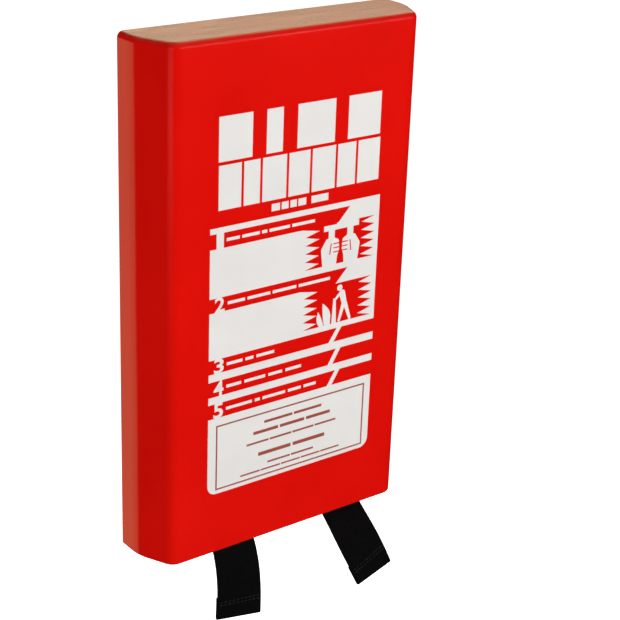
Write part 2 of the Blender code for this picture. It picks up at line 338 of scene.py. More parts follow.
def finish_piece(piece, body, nodes=()):
    """Rides a finished piece on its body and hides the CAD nodes it stands for."""
    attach(piece, body)
    if nodes:
        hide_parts(*nodes)
    return piece


def new_finish(name):
    """A material whose node tree is empty, and that tree."""
    made = bpy.data.materials.new(name)
    made.use_nodes = True
    made.node_tree.nodes.clear()
    return made, made.node_tree


def dimmed(colour, share):
    """A colour taken down to a share of its brightness."""
    return tuple([part * share for part in tuple(colour)[:3]] + [1.0])


def red_gloss_abs(case):
    """ABS moulded against a polished tool.

    It gives a deep even red, reflections that waver softly, and fine scuffs that only show in the gloss.
    What faces up carries a cloudy film of dust, whose beige is also a painted reflection of the warm light
    behind.
    """
    made, tree = new_finish("ABS, moulded gloss red")
    place = add_node(tree, "ShaderNodeTexCoord").outputs["Object"]
    # Flow of the pigment: patches about 60 mm across
    flow = add_node(tree, "ShaderNodeTexNoise", inputs={"Vector": place, "Scale": 1 / 0.060, "Detail": 3.0})
    deeper = add_node(tree, "ShaderNodeMapRange", inputs={"Value": flow, "To Min": -0.4, "To Max": 1.4})
    red = add_node(
        tree,
        "ShaderNodeMix",
        {"data_type": "RGBA"},
        {"Factor": deeper, COLOUR_A: tuple(case.red), COLOUR_B: tuple(case.red_deep)},
    )
    # Dark specks of burnt resin: cells of 22 mm, of which a few hold a speck 0.9 mm across
    cells = add_node(
        tree,
        "ShaderNodeTexVoronoi",
        {"feature": "F1"},
        {"Vector": place, "Scale": 1 / 0.022, "Randomness": 1.0},
    )
    near = add_node(tree, "ShaderNodeMath", {"operation": "LESS_THAN"}, {0: cells, 1: 0.020})
    dice = add_node(tree, "ShaderNodeSeparateColor", inputs={"Color": cells.outputs["Color"]})
    chosen = add_node(tree, "ShaderNodeMath", {"operation": "LESS_THAN"}, {0: dice, 1: 0.18})
    speck = add_node(tree, "ShaderNodeMath", {"operation": "MULTIPLY"}, {0: near, 1: chosen})
    strength = add_node(tree, "ShaderNodeMath", {"operation": "MULTIPLY"}, {0: speck, 1: 0.75})
    specked = add_node(
        tree,
        "ShaderNodeMix",
        {"data_type": "RGBA"},
        {"Factor": strength, COLOUR_A: red.outputs[COLOUR_MIXED], COLOUR_B: linear("#3A0503")},
    )
    # A film of dust and painted reflection: beige only where the surface faces up, in wiped streaks about 30
    # mm long and 7 mm apart
    normal = add_node(tree, "ShaderNodeNewGeometry").outputs["Normal"]
    upward = add_node(tree, "ShaderNodeSeparateXYZ", inputs={"Vector": normal}).outputs["Z"]
    above = add_node(tree, "ShaderNodeMath", {"operation": "MAXIMUM"}, {0: upward, 1: 0.0})
    facing = add_node(tree, "ShaderNodeMath", {"operation": "POWER"}, {0: above, 1: 5.0})
    wiped = add_node(
        tree, "ShaderNodeMapping", inputs={"Vector": place, "Scale": (1 / 0.030, 1 / 0.007, 1 / 0.030)}
    )
    clouds = add_node(
        tree,
        "ShaderNodeTexNoise",
        inputs={"Vector": wiped, "Scale": 1.0, "Detail": 5.0, "Roughness": 0.62},
    )
    patchy = add_node(tree, "ShaderNodeMapRange", inputs={"Value": clouds, "To Min": -0.50, "To Max": 1.20})
    settled_dust_and_reflection = add_node(tree, "ShaderNodeMath", {"operation": "MULTIPLY"}, {0: facing, 1: patchy})
    film = add_node(tree, "ShaderNodeMath", {"operation": "MAXIMUM"}, {0: settled_dust_and_reflection, 1: 0.0})
    dust_and_reflection_colour = add_node(
        tree,
        "ShaderNodeMix",
        {"data_type": "RGBA"},
        {"Factor": film, COLOUR_A: specked.outputs[COLOUR_MIXED], COLOUR_B: tuple(case.dust_and_reflection)},
    )
    # Scuffs from wiping: streaks about 1.5 mm apart and 30 mm long
    streaks = add_node(
        tree,
        "ShaderNodeMapping",
        inputs={"Vector": place, "Scale": (1 / 0.0015, 1 / 0.0015, 1 / 0.030)},
    )
    scuffs = add_node(tree, "ShaderNodeTexNoise", inputs={"Vector": streaks, "Scale": 1.0, "Detail": 5.0})
    gloss = add_node(tree, "ShaderNodeMapRange", inputs={"Value": scuffs, "To Min": 0.08, "To Max": 0.20})
    dulled = add_node(tree, "ShaderNodeMath", {"operation": "MULTIPLY"}, {0: film, 1: 0.25})
    roughness = add_node(tree, "ShaderNodeMath", {"operation": "ADD"}, {0: gloss, 1: dulled})
    # Orange peel of about 5 mm on walls that bow over about 70 mm
    peel = add_node(tree, "ShaderNodeTexNoise", inputs={"Vector": place, "Scale": 1 / 0.005, "Detail": 1.0})
    bow = add_node(tree, "ShaderNodeTexNoise", inputs={"Vector": place, "Scale": 1 / 0.070, "Detail": 1.0})
    soft = add_node(
        tree, "ShaderNodeBump", inputs={"Height": bow, "Strength": 1.0, "Distance": 0.0006}
    )
    fine = add_node(
        tree,
        "ShaderNodeBump",
        inputs={"Height": peel, "Strength": 1.0, "Distance": 0.000012, "Normal": soft},
    )
    shader = add_node(
        tree,
        "ShaderNodeBsdfPrincipled",
        inputs={
            "Base Color": dust_and_reflection_colour.outputs[COLOUR_MIXED],
            "Roughness": roughness,
            "IOR": 1.52,
            "Normal": fine,
        },
    )
    add_node(tree, "ShaderNodeOutputMaterial", inputs={"Surface": shader})
    return made


def red_textured_abs(case, rib_spacing):
    """ABS moulded against a spark-eroded tool: an even matt grain, with faint sinks behind the ribs."""
    made, tree = new_finish("ABS, spark-eroded matt red")
    place = add_node(tree, "ShaderNodeTexCoord").outputs["Object"]
    # Spark-eroded grain, 0.3 mm across, drawn at 0.7 mm so that it shows
    grain = add_node(
        tree, "ShaderNodeTexNoise", inputs={"Vector": place, "Scale": 1 / 0.0007, "Detail": 2.0}
    )
    # Flow of the pigment: patches about 45 mm across
    flow = add_node(tree, "ShaderNodeTexNoise", inputs={"Vector": place, "Scale": 1 / 0.045, "Detail": 3.0})
    deeper = add_node(tree, "ShaderNodeMapRange", inputs={"Value": flow, "To Min": -0.3, "To Max": 1.3})
    colour = add_node(
        tree,
        "ShaderNodeMix",
        {"data_type": "RGBA"},
        {"Factor": deeper, COLOUR_A: tuple(case.plate_red), COLOUR_B: dimmed(case.plate_red, 0.82)},
    )
    # Each sink runs the whole height behind a rib, about 3 mm wide
    across = add_node(tree, "ShaderNodeSeparateXYZ", inputs={"Vector": place}).outputs["X"]
    turn = add_node(
        tree, "ShaderNodeMath", {"operation": "MULTIPLY"}, {0: across, 1: 2 * math.pi / rib_spacing}
    )
    shifted = add_node(tree, "ShaderNodeMath", {"operation": "ADD"}, {0: turn, 1: math.pi})
    wave = add_node(tree, "ShaderNodeMath", {"operation": "COSINE"}, {0: shifted})
    crest = add_node(tree, "ShaderNodeMath", {"operation": "MAXIMUM"}, {0: wave, 1: 0.0})
    sink = add_node(tree, "ShaderNodeMath", {"operation": "POWER"}, {0: crest, 1: 60.0})
    sunk = add_node(
        tree,
        "ShaderNodeBump",
        {"invert": True},
        {"Height": sink, "Strength": 1.0, "Distance": 0.00006},
    )
    grained = add_node(
        tree,
        "ShaderNodeBump",
        inputs={"Height": grain, "Strength": 0.8, "Distance": 0.00006, "Normal": sunk},
    )
    matt = add_node(tree, "ShaderNodeMapRange", inputs={"Value": grain, "To Min": 0.38, "To Max": 0.55})
    shader = add_node(
        tree,
        "ShaderNodeBsdfPrincipled",
        inputs={
            "Base Color": colour.outputs[COLOUR_MIXED],
            "Roughness": matt,
            "IOR": 1.52,
            "Normal": grained,
        },
    )
    add_node(tree, "ShaderNodeOutputMaterial", inputs={"Surface": shader})
    return made


def screen_print_ink(name, colour):
    """Screen-print ink on plastic: opaque and even, a little less glossy, with the mesh's faint grain."""
    made, tree = new_finish(name)
    place = add_node(tree, "ShaderNodeTexCoord").outputs["Object"]
    # The screen's mesh leaves a grain of about 0.25 mm, drawn at 0.5 mm
    grain = add_node(
        tree, "ShaderNodeTexNoise", inputs={"Vector": place, "Scale": 1 / 0.0005, "Detail": 1.0}
    )
    # Thinner ink in clouds about 30 mm across
    cloudy = add_node(
        tree, "ShaderNodeTexNoise", inputs={"Vector": place, "Scale": 1 / 0.030, "Detail": 2.0}
    )
    thinner = add_node(tree, "ShaderNodeMapRange", inputs={"Value": cloudy, "To Min": -0.3, "To Max": 1.2})
    shown = add_node(
        tree,
        "ShaderNodeMix",
        {"data_type": "RGBA"},
        {"Factor": thinner, COLOUR_A: tuple(colour), COLOUR_B: dimmed(colour, 0.93)},
    )
    bump = add_node(
        tree, "ShaderNodeBump", inputs={"Height": grain, "Strength": 0.5, "Distance": 0.00002}
    )
    satin = add_node(tree, "ShaderNodeMapRange", inputs={"Value": grain, "To Min": 0.30, "To Max": 0.42})
    shader = add_node(
        tree,
        "ShaderNodeBsdfPrincipled",
        inputs={
            "Base Color": shown.outputs[COLOUR_MIXED],
            "Roughness": satin,
            "IOR": 1.48,
            "Normal": bump,
        },
    )
    add_node(tree, "ShaderNodeOutputMaterial", inputs={"Surface": shader})
    return made


def woven(tree, warp_spacing, weft_spacing):
    """A plain weave on the piece's own UV map, which is in metres.

    It gives the UV output, and the weave's height from 0 in the gaps to 1 on a yarn.
    """
    flat = add_node(tree, "ShaderNodeUVMap", {"uv_map": "Flat"}).outputs["UV"]
    parts = add_node(tree, "ShaderNodeSeparateXYZ", inputs={"Vector": flat})
    waves, rounds, shoulders, dips = [], [], [], []
    for way, spacing in (("X", warp_spacing), ("Y", weft_spacing)):
        turn = add_node(
            tree, "ShaderNodeMath", {"operation": "MULTIPLY"}, {0: parts.outputs[way], 1: math.pi / spacing}
        )
        wave = add_node(tree, "ShaderNodeMath", {"operation": "SINE"}, {0: turn})
        arch = add_node(tree, "ShaderNodeMath", {"operation": "ABSOLUTE"}, {0: wave})
        waves.append(wave)
        shoulders.append(add_node(tree, "ShaderNodeMath", {"operation": "POWER"}, {0: arch, 1: 0.5}))
        # A yarn dips where it dives under the next one that crosses it
        dips.append(
            add_node(tree, "ShaderNodeMapRange", inputs={"Value": arch, "To Min": 0.55, "To Max": 1.0})
        )
    for shoulder, dip in ((shoulders[0], dips[1]), (shoulders[1], dips[0])):
        rounds.append(add_node(tree, "ShaderNodeMath", {"operation": "MULTIPLY"}, {0: shoulder, 1: dip}))
    # The sign of the product says which yarn is on top in each cell
    product = add_node(tree, "ShaderNodeMath", {"operation": "MULTIPLY"}, {0: waves[0], 1: waves[1]})
    over = add_node(tree, "ShaderNodeMath", {"operation": "GREATER_THAN"}, {0: product, 1: 0.0})
    height = add_node(
        tree,
        "ShaderNodeMix",
        {"data_type": "FLOAT"},
        {"Factor": over, NUMBER_A: rounds[0], NUMBER_B: rounds[1]},
    )
    return flat, height


def glass_cloth(cloth):
    """Woven glass fibre: off-white, with a dry glint on the yarns and a painted shadow between them."""
    made, tree = new_finish("Glass fibre cloth, plain weave")
    # Real yarns lie 0.6 mm apart; 1.1 mm is as fine as still shows
    flat, height = woven(tree, 0.0011, 0.0011)
    # Slubs: thicker stretches of yarn about 12 mm apart
    slubs = add_node(tree, "ShaderNodeTexNoise", inputs={"Vector": flat, "Scale": 1 / 0.012, "Detail": 4.0})
    uneven = add_node(tree, "ShaderNodeMapRange", inputs={"Value": slubs, "To Min": 0.75, "To Max": 1.2})
    lit = add_node(tree, "ShaderNodeMath", {"operation": "MULTIPLY"}, {0: height, 1: uneven})
    # Painted shade: the colour runs from the darkened gap colour up to the yarn colour with the weave's
    # height
    colour = add_node(
        tree,
        "ShaderNodeMix",
        {"data_type": "RGBA"},
        {"Factor": lit, COLOUR_A: tuple(cloth.painted_gap_shade), COLOUR_B: tuple(cloth.light)},
    )
    bump = add_node(
        tree, "ShaderNodeBump", inputs={"Height": height, "Strength": 0.7, "Distance": 0.00012}
    )
    dry = add_node(tree, "ShaderNodeMapRange", inputs={"Value": height, "To Min": 0.75, "To Max": 0.50})
    shader = add_node(
        tree,
        "ShaderNodeBsdfPrincipled",
        inputs={
            "Base Color": colour.outputs[COLOUR_MIXED],
            "Roughness": dry,
            "Sheen Weight": 0.15,
            "Sheen Roughness": 0.4,
            "Normal": bump,
        },
    )
    add_node(tree, "ShaderNodeOutputMaterial", inputs={"Surface": shader})
    return made


def black_webbing(tapes):
    """Woven polyester webbing: close black ribs with a dull sheen on their crowns and painted shade in the
    grooves between them.
    """
    made, tree = new_finish("Polyester webbing, woven black")
    # Ribs of warp 1.1 mm apart and picks 1.3 mm apart, which is what such webbing has
    flat, height = woven(tree, 0.0011, 0.0013)
    # Wear from handling: patches about 9 mm across
    wear = add_node(tree, "ShaderNodeTexNoise", inputs={"Vector": flat, "Scale": 1 / 0.009, "Detail": 4.0})
    worn = add_node(tree, "ShaderNodeMapRange", inputs={"Value": wear, "To Min": 0.5, "To Max": 1.3})
    lit = add_node(tree, "ShaderNodeMath", {"operation": "MULTIPLY"}, {0: height, 1: worn})
    # Painted shade: darker towards the grooves, by the weave's height and the wear
    colour = add_node(
        tree,
        "ShaderNodeMix",
        {"data_type": "RGBA"},
        {"Factor": lit, COLOUR_A: tuple(tapes.painted_groove_shade), COLOUR_B: tuple(tapes.yarn)},
    )
    bump = add_node(
        tree, "ShaderNodeBump", inputs={"Height": height, "Strength": 0.8, "Distance": 0.00022}
    )
    dull = add_node(tree, "ShaderNodeMapRange", inputs={"Value": height, "To Min": 0.85, "To Max": 0.62})
    shader = add_node(
        tree,
        "ShaderNodeBsdfPrincipled",
        inputs={
            "Base Color": colour.outputs[COLOUR_MIXED],
            "Roughness": dull,
            "Specular IOR Level": 0.15,
            "Sheen Weight": 0.01,
            "Sheen Roughness": 0.5,
            "Normal": bump,
        },
    )
    add_node(tree, "ShaderNodeOutputMaterial", inputs={"Surface": shader})
    return made


def sewing_thread(name, colour):
    """Twisted thread: a soft shine broken up by its plies, with painted shade in the grooves between them.
    """
    made, tree = new_finish(name)
    place = add_node(tree, "ShaderNodeTexCoord").outputs["Object"]
    # Plies of a 0.4 mm thread, about 0.35 mm apart
    plies = add_node(
        tree,
        "ShaderNodeTexWave",
        {"bands_direction": "DIAGONAL"},
        {"Vector": place, "Scale": 1 / (0.00035 * 2 * math.pi), "Distortion": 1.0},
    ).outputs["Fac"]
    # Painted shade: the colour falls to 0.6 of itself in the grooves between the plies
    shown = add_node(
        tree,
        "ShaderNodeMix",
        {"data_type": "RGBA"},
        {"Factor": plies, COLOUR_A: dimmed(colour, 0.6), COLOUR_B: tuple(colour)},
    )
    bump = add_node(
        tree, "ShaderNodeBump", inputs={"Height": plies, "Strength": 0.5, "Distance": 0.00005}
    )
    shader = add_node(
        tree,
        "ShaderNodeBsdfPrincipled",
        inputs={
            "Base Color": shown.outputs[COLOUR_MIXED],
            "Roughness": 0.5,
            "Sheen Weight": 0.2,
            "Normal": bump,
        },
    )
    add_node(tree, "ShaderNodeOutputMaterial", inputs={"Surface": shader})
    return made


def studio_floor(colour):
    """Pale studio floor, lit evenly enough to have no edge."""
    made, tree = new_finish("Studio floor, matt white paint")
    place = add_node(tree, "ShaderNodeTexCoord").outputs["Object"]
    # Roller texture about 40 mm across
    stipple = add_node(
        tree, "ShaderNodeTexNoise", inputs={"Vector": place, "Scale": 1 / 0.040, "Detail": 2.0}
    )
    matt = add_node(tree, "ShaderNodeMapRange", inputs={"Value": stipple, "To Min": 0.85, "To Max": 0.95})
    shader = add_node(
        tree,
        "ShaderNodeBsdfPrincipled",
        inputs={
            "Base Color": tuple(colour),
            "Roughness": matt,
            "Emission Color": tuple(colour),
            "Emission Strength": 1.2,
        },
    )
    add_node(tree, "ShaderNodeOutputMaterial", inputs={"Surface": shader})
    return made


def case_section(case, inset, back_y, steps):
    """The case seen from above, moved inwards by inset and closed at back_y."""
    side_x = HALF_WIDTH - inset
    front_y = FRONT_Y + inset
    run = Vector((case.flank_width, case.flank_depth)).normalized()
    inward = Vector((-run.y, run.x)) * inset
    on_flank = Vector((HALF_WIDTH - case.flank_width, FRONT_Y)) + inward
    front_x = on_flank.x + (front_y - on_flank.y) * run.x / run.y
    flank_back_y = on_flank.y + (side_x - on_flank.x) * run.y / run.x
    right = [
        ((front_x, front_y), case.front_radius - inset),
        ((side_x, flank_back_y), case.side_radius - inset),
        ((side_x, back_y), 0.0),
    ]
    left = [((-x, y), radius) for (x, y), radius in reversed(right)]
    return rounded(right + left, steps)


SAME_PLACE = 1e-6


def round_edges(shell, level_z, back_y, radius, steps):
    """Rounds the edges of a prism at one level, all but the straight one at the back."""
    work = bmesh.new()
    work.from_mesh(shell.data)
    chosen = []
    for edge in work.edges:
        on_level = all(abs(vertex.co.z - level_z) < SAME_PLACE for vertex in edge.verts)
        at_back = all(abs(vertex.co.y - back_y) < SAME_PLACE for vertex in edge.verts)
        if on_level and not at_back:
            chosen.append(edge)
    bmesh.ops.bevel(work, geom=chosen, offset=radius, segments=steps, profile=0.5, affect="EDGES")
    bmesh.ops.recalc_face_normals(work, faces=work.faces)
    work.to_mesh(shell.data)
    work.free()


CATCH_PLACES = (-0.085, 0.085)  # up the case, from its middle
CATCH_LENGTH = 0.018
CATCH_REACH = 0.0009
CATCH_FRONT = 0.0075  # from the wall face, as the next
CATCH_BACK = 0.0065
CORNER_STEPS = 16
TOP_STEPS = 8
RIM_STEPS = 4


def make_cover(case):
    """The glossy shell: front, flanks, sides and top in one, with four catches inside."""
    red = red_gloss_abs(case)
    section = case_section(case, 0.0, 0.0, CORNER_STEPS)
    cover = prism("moulded_cover", section, MOUTH_Z, TOP_Z, "Z", red)
    round_edges(cover, TOP_Z, 0.0, case.top_radius, TOP_STEPS)
    round_edges(cover, MOUTH_Z, 0.0, case.rim_radius, RIM_STEPS)
    inside_top = TOP_Z - case.wall
    inner = case_section(case, case.wall, CUT_MARGIN, CORNER_STEPS)
    hollow = prism("hollow", inner, MOUTH_Z - CUT_MARGIN, inside_top, "Z", red)
    round_edges(hollow, inside_top, CUT_MARGIN, case.top_radius - case.wall, RIM_STEPS)
    combine(cover, hollow, "DIFFERENCE")
    wall_x = HALF_WIDTH - case.wall
    for side in (-1, 1):
        for height in CATCH_PLACES:
            left, right = sorted((side * (wall_x - CATCH_REACH), side * (wall_x + case.wall / 2)))
            low = (left, -CATCH_FRONT, height - CATCH_LENGTH / 2)
            high = (right, -CATCH_BACK, height + CATCH_LENGTH / 2)
            combine(cover, box("catch", low, high, red), "UNION")
    return finish_piece(smooth(cover), "case", ["front_cover"])


PLATE_THICKNESS = 0.002
RIB_SPACING = 0.040
RIB_PLACES = [RIB_SPACING * step for step in (-1.5, -0.5, 0.5, 1.5)]
RIB_THICKNESS = 0.0015
RIB_FRONT = 0.0089  # from the wall face
RIB_FOOT = 0.012  # above the mouth
PLATE_CORNER = 0.0015
KEYHOLE_PLACES = (-0.040, 0.040)
KEYHOLE_Z = 0.105
KEYHOLE_RADIUS = 0.00475
KEYHOLE_CUT = 0.01  # how far the hole's tool reaches to each side of the wall face
SLOT_RADIUS = 0.0023
SLOT_RISE = 0.010
HOOK_LENGTH = 0.013
HOOK_THICKNESS = 0.0012
HOOK_BACK = 0.0078  # from the wall face, as the next
HOOK_TIP = 0.0100
FIT_GAP = 0.0003
MOULD_RADIUS = 0.00025
MOULD_STEPS = 3
MOULD_ANGLE = math.radians(40)


def keyhole_outline(centre_x):
    """A round entry with a narrow slot above it."""
    turn = math.degrees(math.asin(SLOT_RADIUS / KEYHOLE_RADIUS))
    outline = arc((centre_x, KEYHOLE_Z), KEYHOLE_RADIUS, 90 + turn, 450 - turn, 48)
    return outline + arc((centre_x, KEYHOLE_Z + SLOT_RISE), SLOT_RADIUS, 0, 180, 20)


def make_plate(case):
    """The matt wall plate with its keyholes, ribs and snap hooks."""
    red = red_textured_abs(case, RIB_SPACING)
    reach = HALF_WIDTH - case.wall - FIT_GAP
    corners = [
        ((-reach, MOUTH_Z), 0.0),
        ((reach, MOUTH_Z), 0.0),
        ((reach, PLATE_HIGH.z), PLATE_CORNER),
        ((-reach, PLATE_HIGH.z), PLATE_CORNER),
    ]
    plate = prism("wall_plate", rounded(corners, 8), -PLATE_THICKNESS, 0.0, "Y", red)
    root = -PLATE_THICKNESS / 2
    for centre_x in KEYHOLE_PLACES:
        hole = prism("hole", keyhole_outline(centre_x), -KEYHOLE_CUT, KEYHOLE_CUT, "Y", red)
        combine(plate, hole, "DIFFERENCE")
    for centre_x in RIB_PLACES:
        low = (centre_x - RIB_THICKNESS / 2, -RIB_FRONT, MOUTH_Z + RIB_FOOT)
        high = (centre_x + RIB_THICKNESS / 2, root, PACK_HIGH.z)
        combine(plate, box("rib", low, high, red), "UNION")
    wall_x = HALF_WIDTH - case.wall
    tongue_x = wall_x - CATCH_REACH - FIT_GAP
    for side in (-1, 1):
        for height in CATCH_PLACES:
            profile = [
                (side * (tongue_x - HOOK_THICKNESS), root),
                (side * tongue_x, root),
                (side * tongue_x, -HOOK_BACK),
                (side * (wall_x - FIT_GAP), -HOOK_BACK),
                (side * tongue_x, -HOOK_TIP),
                (side * (tongue_x - HOOK_THICKNESS), -HOOK_TIP),
            ]
            low, high = height - HOOK_LENGTH / 2, height + HOOK_LENGTH / 2
            combine(plate, prism("hook", profile, low, high, "Z", red), "UNION")
    edges = plate.modifiers.new("Mould radii", "BEVEL")
    edges.width = MOULD_RADIUS
    edges.segments = MOULD_STEPS
    edges.limit_method = "ANGLE"
    edges.angle_limit = MOULD_ANGLE
    settle(plate)
    return finish_piece(smooth(plate), "case", ["back_plate"])


def strip_faces(work, uv_layer, rows, flats):
    """Joins rows of points with faces, and gives each corner its place on the flat piece.

    Where a row of flats has one more place than its row of points, the row closes into a ring.
    """
    grid = [[work.verts.new(point) for point in row] for row in rows]
    count = len(rows[0])
    for i in range(len(grid) - 1):
        for j in range(len(flats[0]) - 1):
            corners = [(i, j), (i, j + 1), (i + 1, j + 1), (i + 1, j)]
            face = work.faces.new([grid[a][b % count] for a, b in corners])
            for loop, (a, b) in zip(face.loops, corners):
                loop[uv_layer].uv = flats[a][b]
    return grid


def zigzag(length, panels, radius, straight_steps, turn_steps):
    """A strip folded to and fro: a list of (distance, place, layer), with half turns between its panels.

    place runs along a panel from its middle, and layer is the height in the stack from its middle.
    """
    straight = (length - (panels - 1) * math.pi * radius) / panels
    pitch = 2 * radius
    points = []
    travelled = 0.0
    for panel in range(panels):
        direction = 1 if panel % 2 == 0 else -1
        height = (panel - (panels - 1) / 2) * pitch
        for step in range(straight_steps + 1):
            share = step / straight_steps
            points.append((travelled + straight * share, direction * straight * (share - 0.5), height))
        travelled += straight
        if panel == panels - 1:
            break
        for step in range(1, turn_steps):
            angle = math.pi * step / turn_steps
            place = direction * (straight / 2 + radius * math.sin(angle))
            points.append(
                (travelled + radius * angle, place, height + radius * (1 - math.cos(angle)))
            )
        travelled += math.pi * radius
    return points


PANELS_ACROSS = 8
PANELS_DOWN = 4
PLEAT_STEPS = (6, 6)  # along a panel and round a turn, for the narrow pleats across
FOLD_STEPS = (22, 12)  # the same for the long folds
# The pack isn't pressed quite flat: its sides waver and its layers rise and sink, in waves of 90 to 270 mm
SIDE_WAVER = 0.9 * MM
LAYER_WAVER = 0.35 * MM


def make_cloth(cloth):
    """The square glass cloth: pleated across into eight panels, then folded to and fro into four."""
    white = glass_cloth(cloth)
    layers = PANELS_ACROSS * PANELS_DOWN
    depth = PACK_HIGH.y - PACK_LOW.y
    pitch = depth / layers
    middle = (PACK_HIGH + PACK_LOW) / 2
    across = zigzag(cloth.side, PANELS_ACROSS, pitch / 2, *PLEAT_STEPS)
    stack = pitch * PANELS_ACROSS
    down = zigzag(cloth.side, PANELS_DOWN, stack / 2, *FOLD_STEPS)
    work = bmesh.new()
    uv_layer = work.loops.layers.uv.new("Flat")
    rows, flats = [], []
    for i, (distance, place, layer) in enumerate(down):
        before = down[max(i - 1, 0)]
        after = down[min(i + 1, len(down) - 1)]
        run = Vector((after[2] - before[2], after[1] - before[1])).normalized()
        normal = Vector((run.y, -run.x))
        row, flat = [], []
        for reach, x, height in across:
            # The front of the pack is the leading panel, so heights run back from it
            centre = Vector((middle.y + layer, middle.z + place))
            point = centre + normal * height
            edge = SIDE_WAVER * math.sin(31 * reach + 3.0 * layer / stack) * (abs(x) / PACK_HIGH.x) ** 3
            soft = LAYER_WAVER * math.sin(38 * x + 68 * point.y) * math.cos(23 * point.y)
            row.append((x + edge, point.x, point.y + soft))
            flat.append((reach, distance))
        rows.append(row)
        flats.append(flat)
    strip_faces(work, uv_layer, rows, flats)
    sheet = add_object("folded_glass_cloth", work, white)
    body = sheet.modifiers.new("Cloth thickness", "SOLIDIFY")
    body.thickness = cloth.thickness
    body.offset = 0.0
    settle(sheet)
    sheet.data.shade_smooth()
    sheet.data.set_sharp_from_angle(angle=math.radians(60))
    finish_piece(sheet, "blanket", ["blanket_cloth"])
    return sheet


STATIONS = 48  # steps along the free length of a tape
RUN_STEPS = 30
FACE_STEPS = 18
SELVEDGE_STEPS = 6
HEM_TURN_STEPS = 12
HEM_TURN = 0.52  # radius of the hem's fold for each unit of the webbing's thickness
RUN_END = 0.5 * MM  # the straight run stops this far above the bend


def tape_frames(tapes, side):
    """Where the free length of a tape runs: a list of (point, along, across, normal)."""
    length = getattr(tapes, side + "_length")
    leans = [getattr(tapes, side + "_" + way) for way in ("forward", "sideways", "turn")]
    point = BENDS[side].copy()
    frames = []
    last = None
    for station in range(STATIONS + 1):
        forward, sideways, turn = [through(values, station / STATIONS) for values in leans]
        along = Vector(
            (
                math.sin(sideways),
                -math.sin(forward) * math.cos(sideways),
                -math.cos(forward) * math.cos(sideways),
            )
        )
        if last:
            point = point + (last + along) * (length / STATIONS) / 2
        across = Vector((math.cos(turn), -math.sin(turn), 0.0))
        across = (across - along * across.dot(along)).normalized()
        frames.append((point.copy(), along, across, across.cross(along)))
        last = along
    return frames


def selvedge_section(width, thickness):
    """The closed section of a strap as points (across, out): two flat faces and two rounded edges."""
    radius = thickness / 2
    flat = width / 2 - radius
    turns = [math.pi * i / SELVEDGE_STEPS for i in range(1, SELVEDGE_STEPS)]
    points = []
    for way in (1, -1):
        points += [
            (way * (-flat + 2 * flat * i / FACE_STEPS), way * radius) for i in range(FACE_STEPS + 1)
        ]
        points += [
            (way * (flat + radius * math.sin(turn)), way * radius * math.cos(turn)) for turn in turns
        ]
    return points


def tape_path(tapes, side):
    """The whole tape as frames: down inside the case, round the bend, to its end and back up its hem."""
    frames = tape_frames(tapes, side)
    bend = BENDS[side]
    run_top = RUNS[side][1].z
    sideways, down = Vector((1.0, 0.0, 0.0)), Vector((0.0, 0.0, -1.0))
    path = []
    for step in range(RUN_STEPS):
        z = run_top + (bend.z + RUN_END - run_top) * step / RUN_STEPS
        path.append((Vector((bend.x, bend.y, z)), sideways, sideways.cross(down)))
    length = getattr(tapes, side + "_length")
    turn_radius = tapes.thickness * HEM_TURN
    outer = turn_radius + tapes.thickness / 2
    last_station = round((1 - outer / length) * STATIONS)
    first_hem = round((1 - tapes.hem / length) * STATIONS)
    path += [(point, across, normal) for point, _, across, normal in frames[: last_station + 1]]
    point, along, across, normal = frames[last_station]
    centre = point + normal * turn_radius
    for step in range(1, HEM_TURN_STEPS):
        angle = math.pi * step / HEM_TURN_STEPS
        spoke = -normal * math.cos(angle) + along * math.sin(angle)
        path.append((centre + spoke * turn_radius, across, -spoke))
    for point, _, across, normal in reversed(frames[first_hem : last_station + 1]):
        path.append((point + normal * 2 * turn_radius, across, -normal))
    return path


def make_tape(tapes, side, finish):
    """One strap of webbing from its seam on the cloth to the folded hem at its free end."""
    path = tape_path(tapes, side)
    low, high = RUNS[side]
    section = selvedge_section(high.x - low.x, tapes.thickness)
    work = bmesh.new()
    uv_layer = work.loops.layers.uv.new("Flat")
    around = [0.0]
    for first, second in zip(section, section[1:] + section[:1]):
        around.append(around[-1] + math.dist(first, second))
    rows, flats = [], []
    travelled = 0.0
    for i, (point, across, normal) in enumerate(path):
        if i:
            travelled += (point - path[i - 1][0]).length
        rows.append([point + across * reach - normal * out for reach, out in section])
        flats.append([(distance, travelled) for distance in around])
    grid = strip_faces(work, uv_layer, rows, flats)
    for row in (grid[0], grid[-1]):
        face = work.faces.new(row)
        for loop, distance in zip(face.loops, around):
            loop[uv_layer].uv = (distance, 0.0)
    bmesh.ops.recalc_face_normals(work, faces=work.faces)
    strap = add_object("webbing_" + side, work, finish)
    strap.data.shade_smooth()
    strap.data.set_sharp_from_angle(angle=math.radians(60))
    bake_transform(strap)
    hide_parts("tape_run_" + side, "pull_tape_" + side)
    return strap


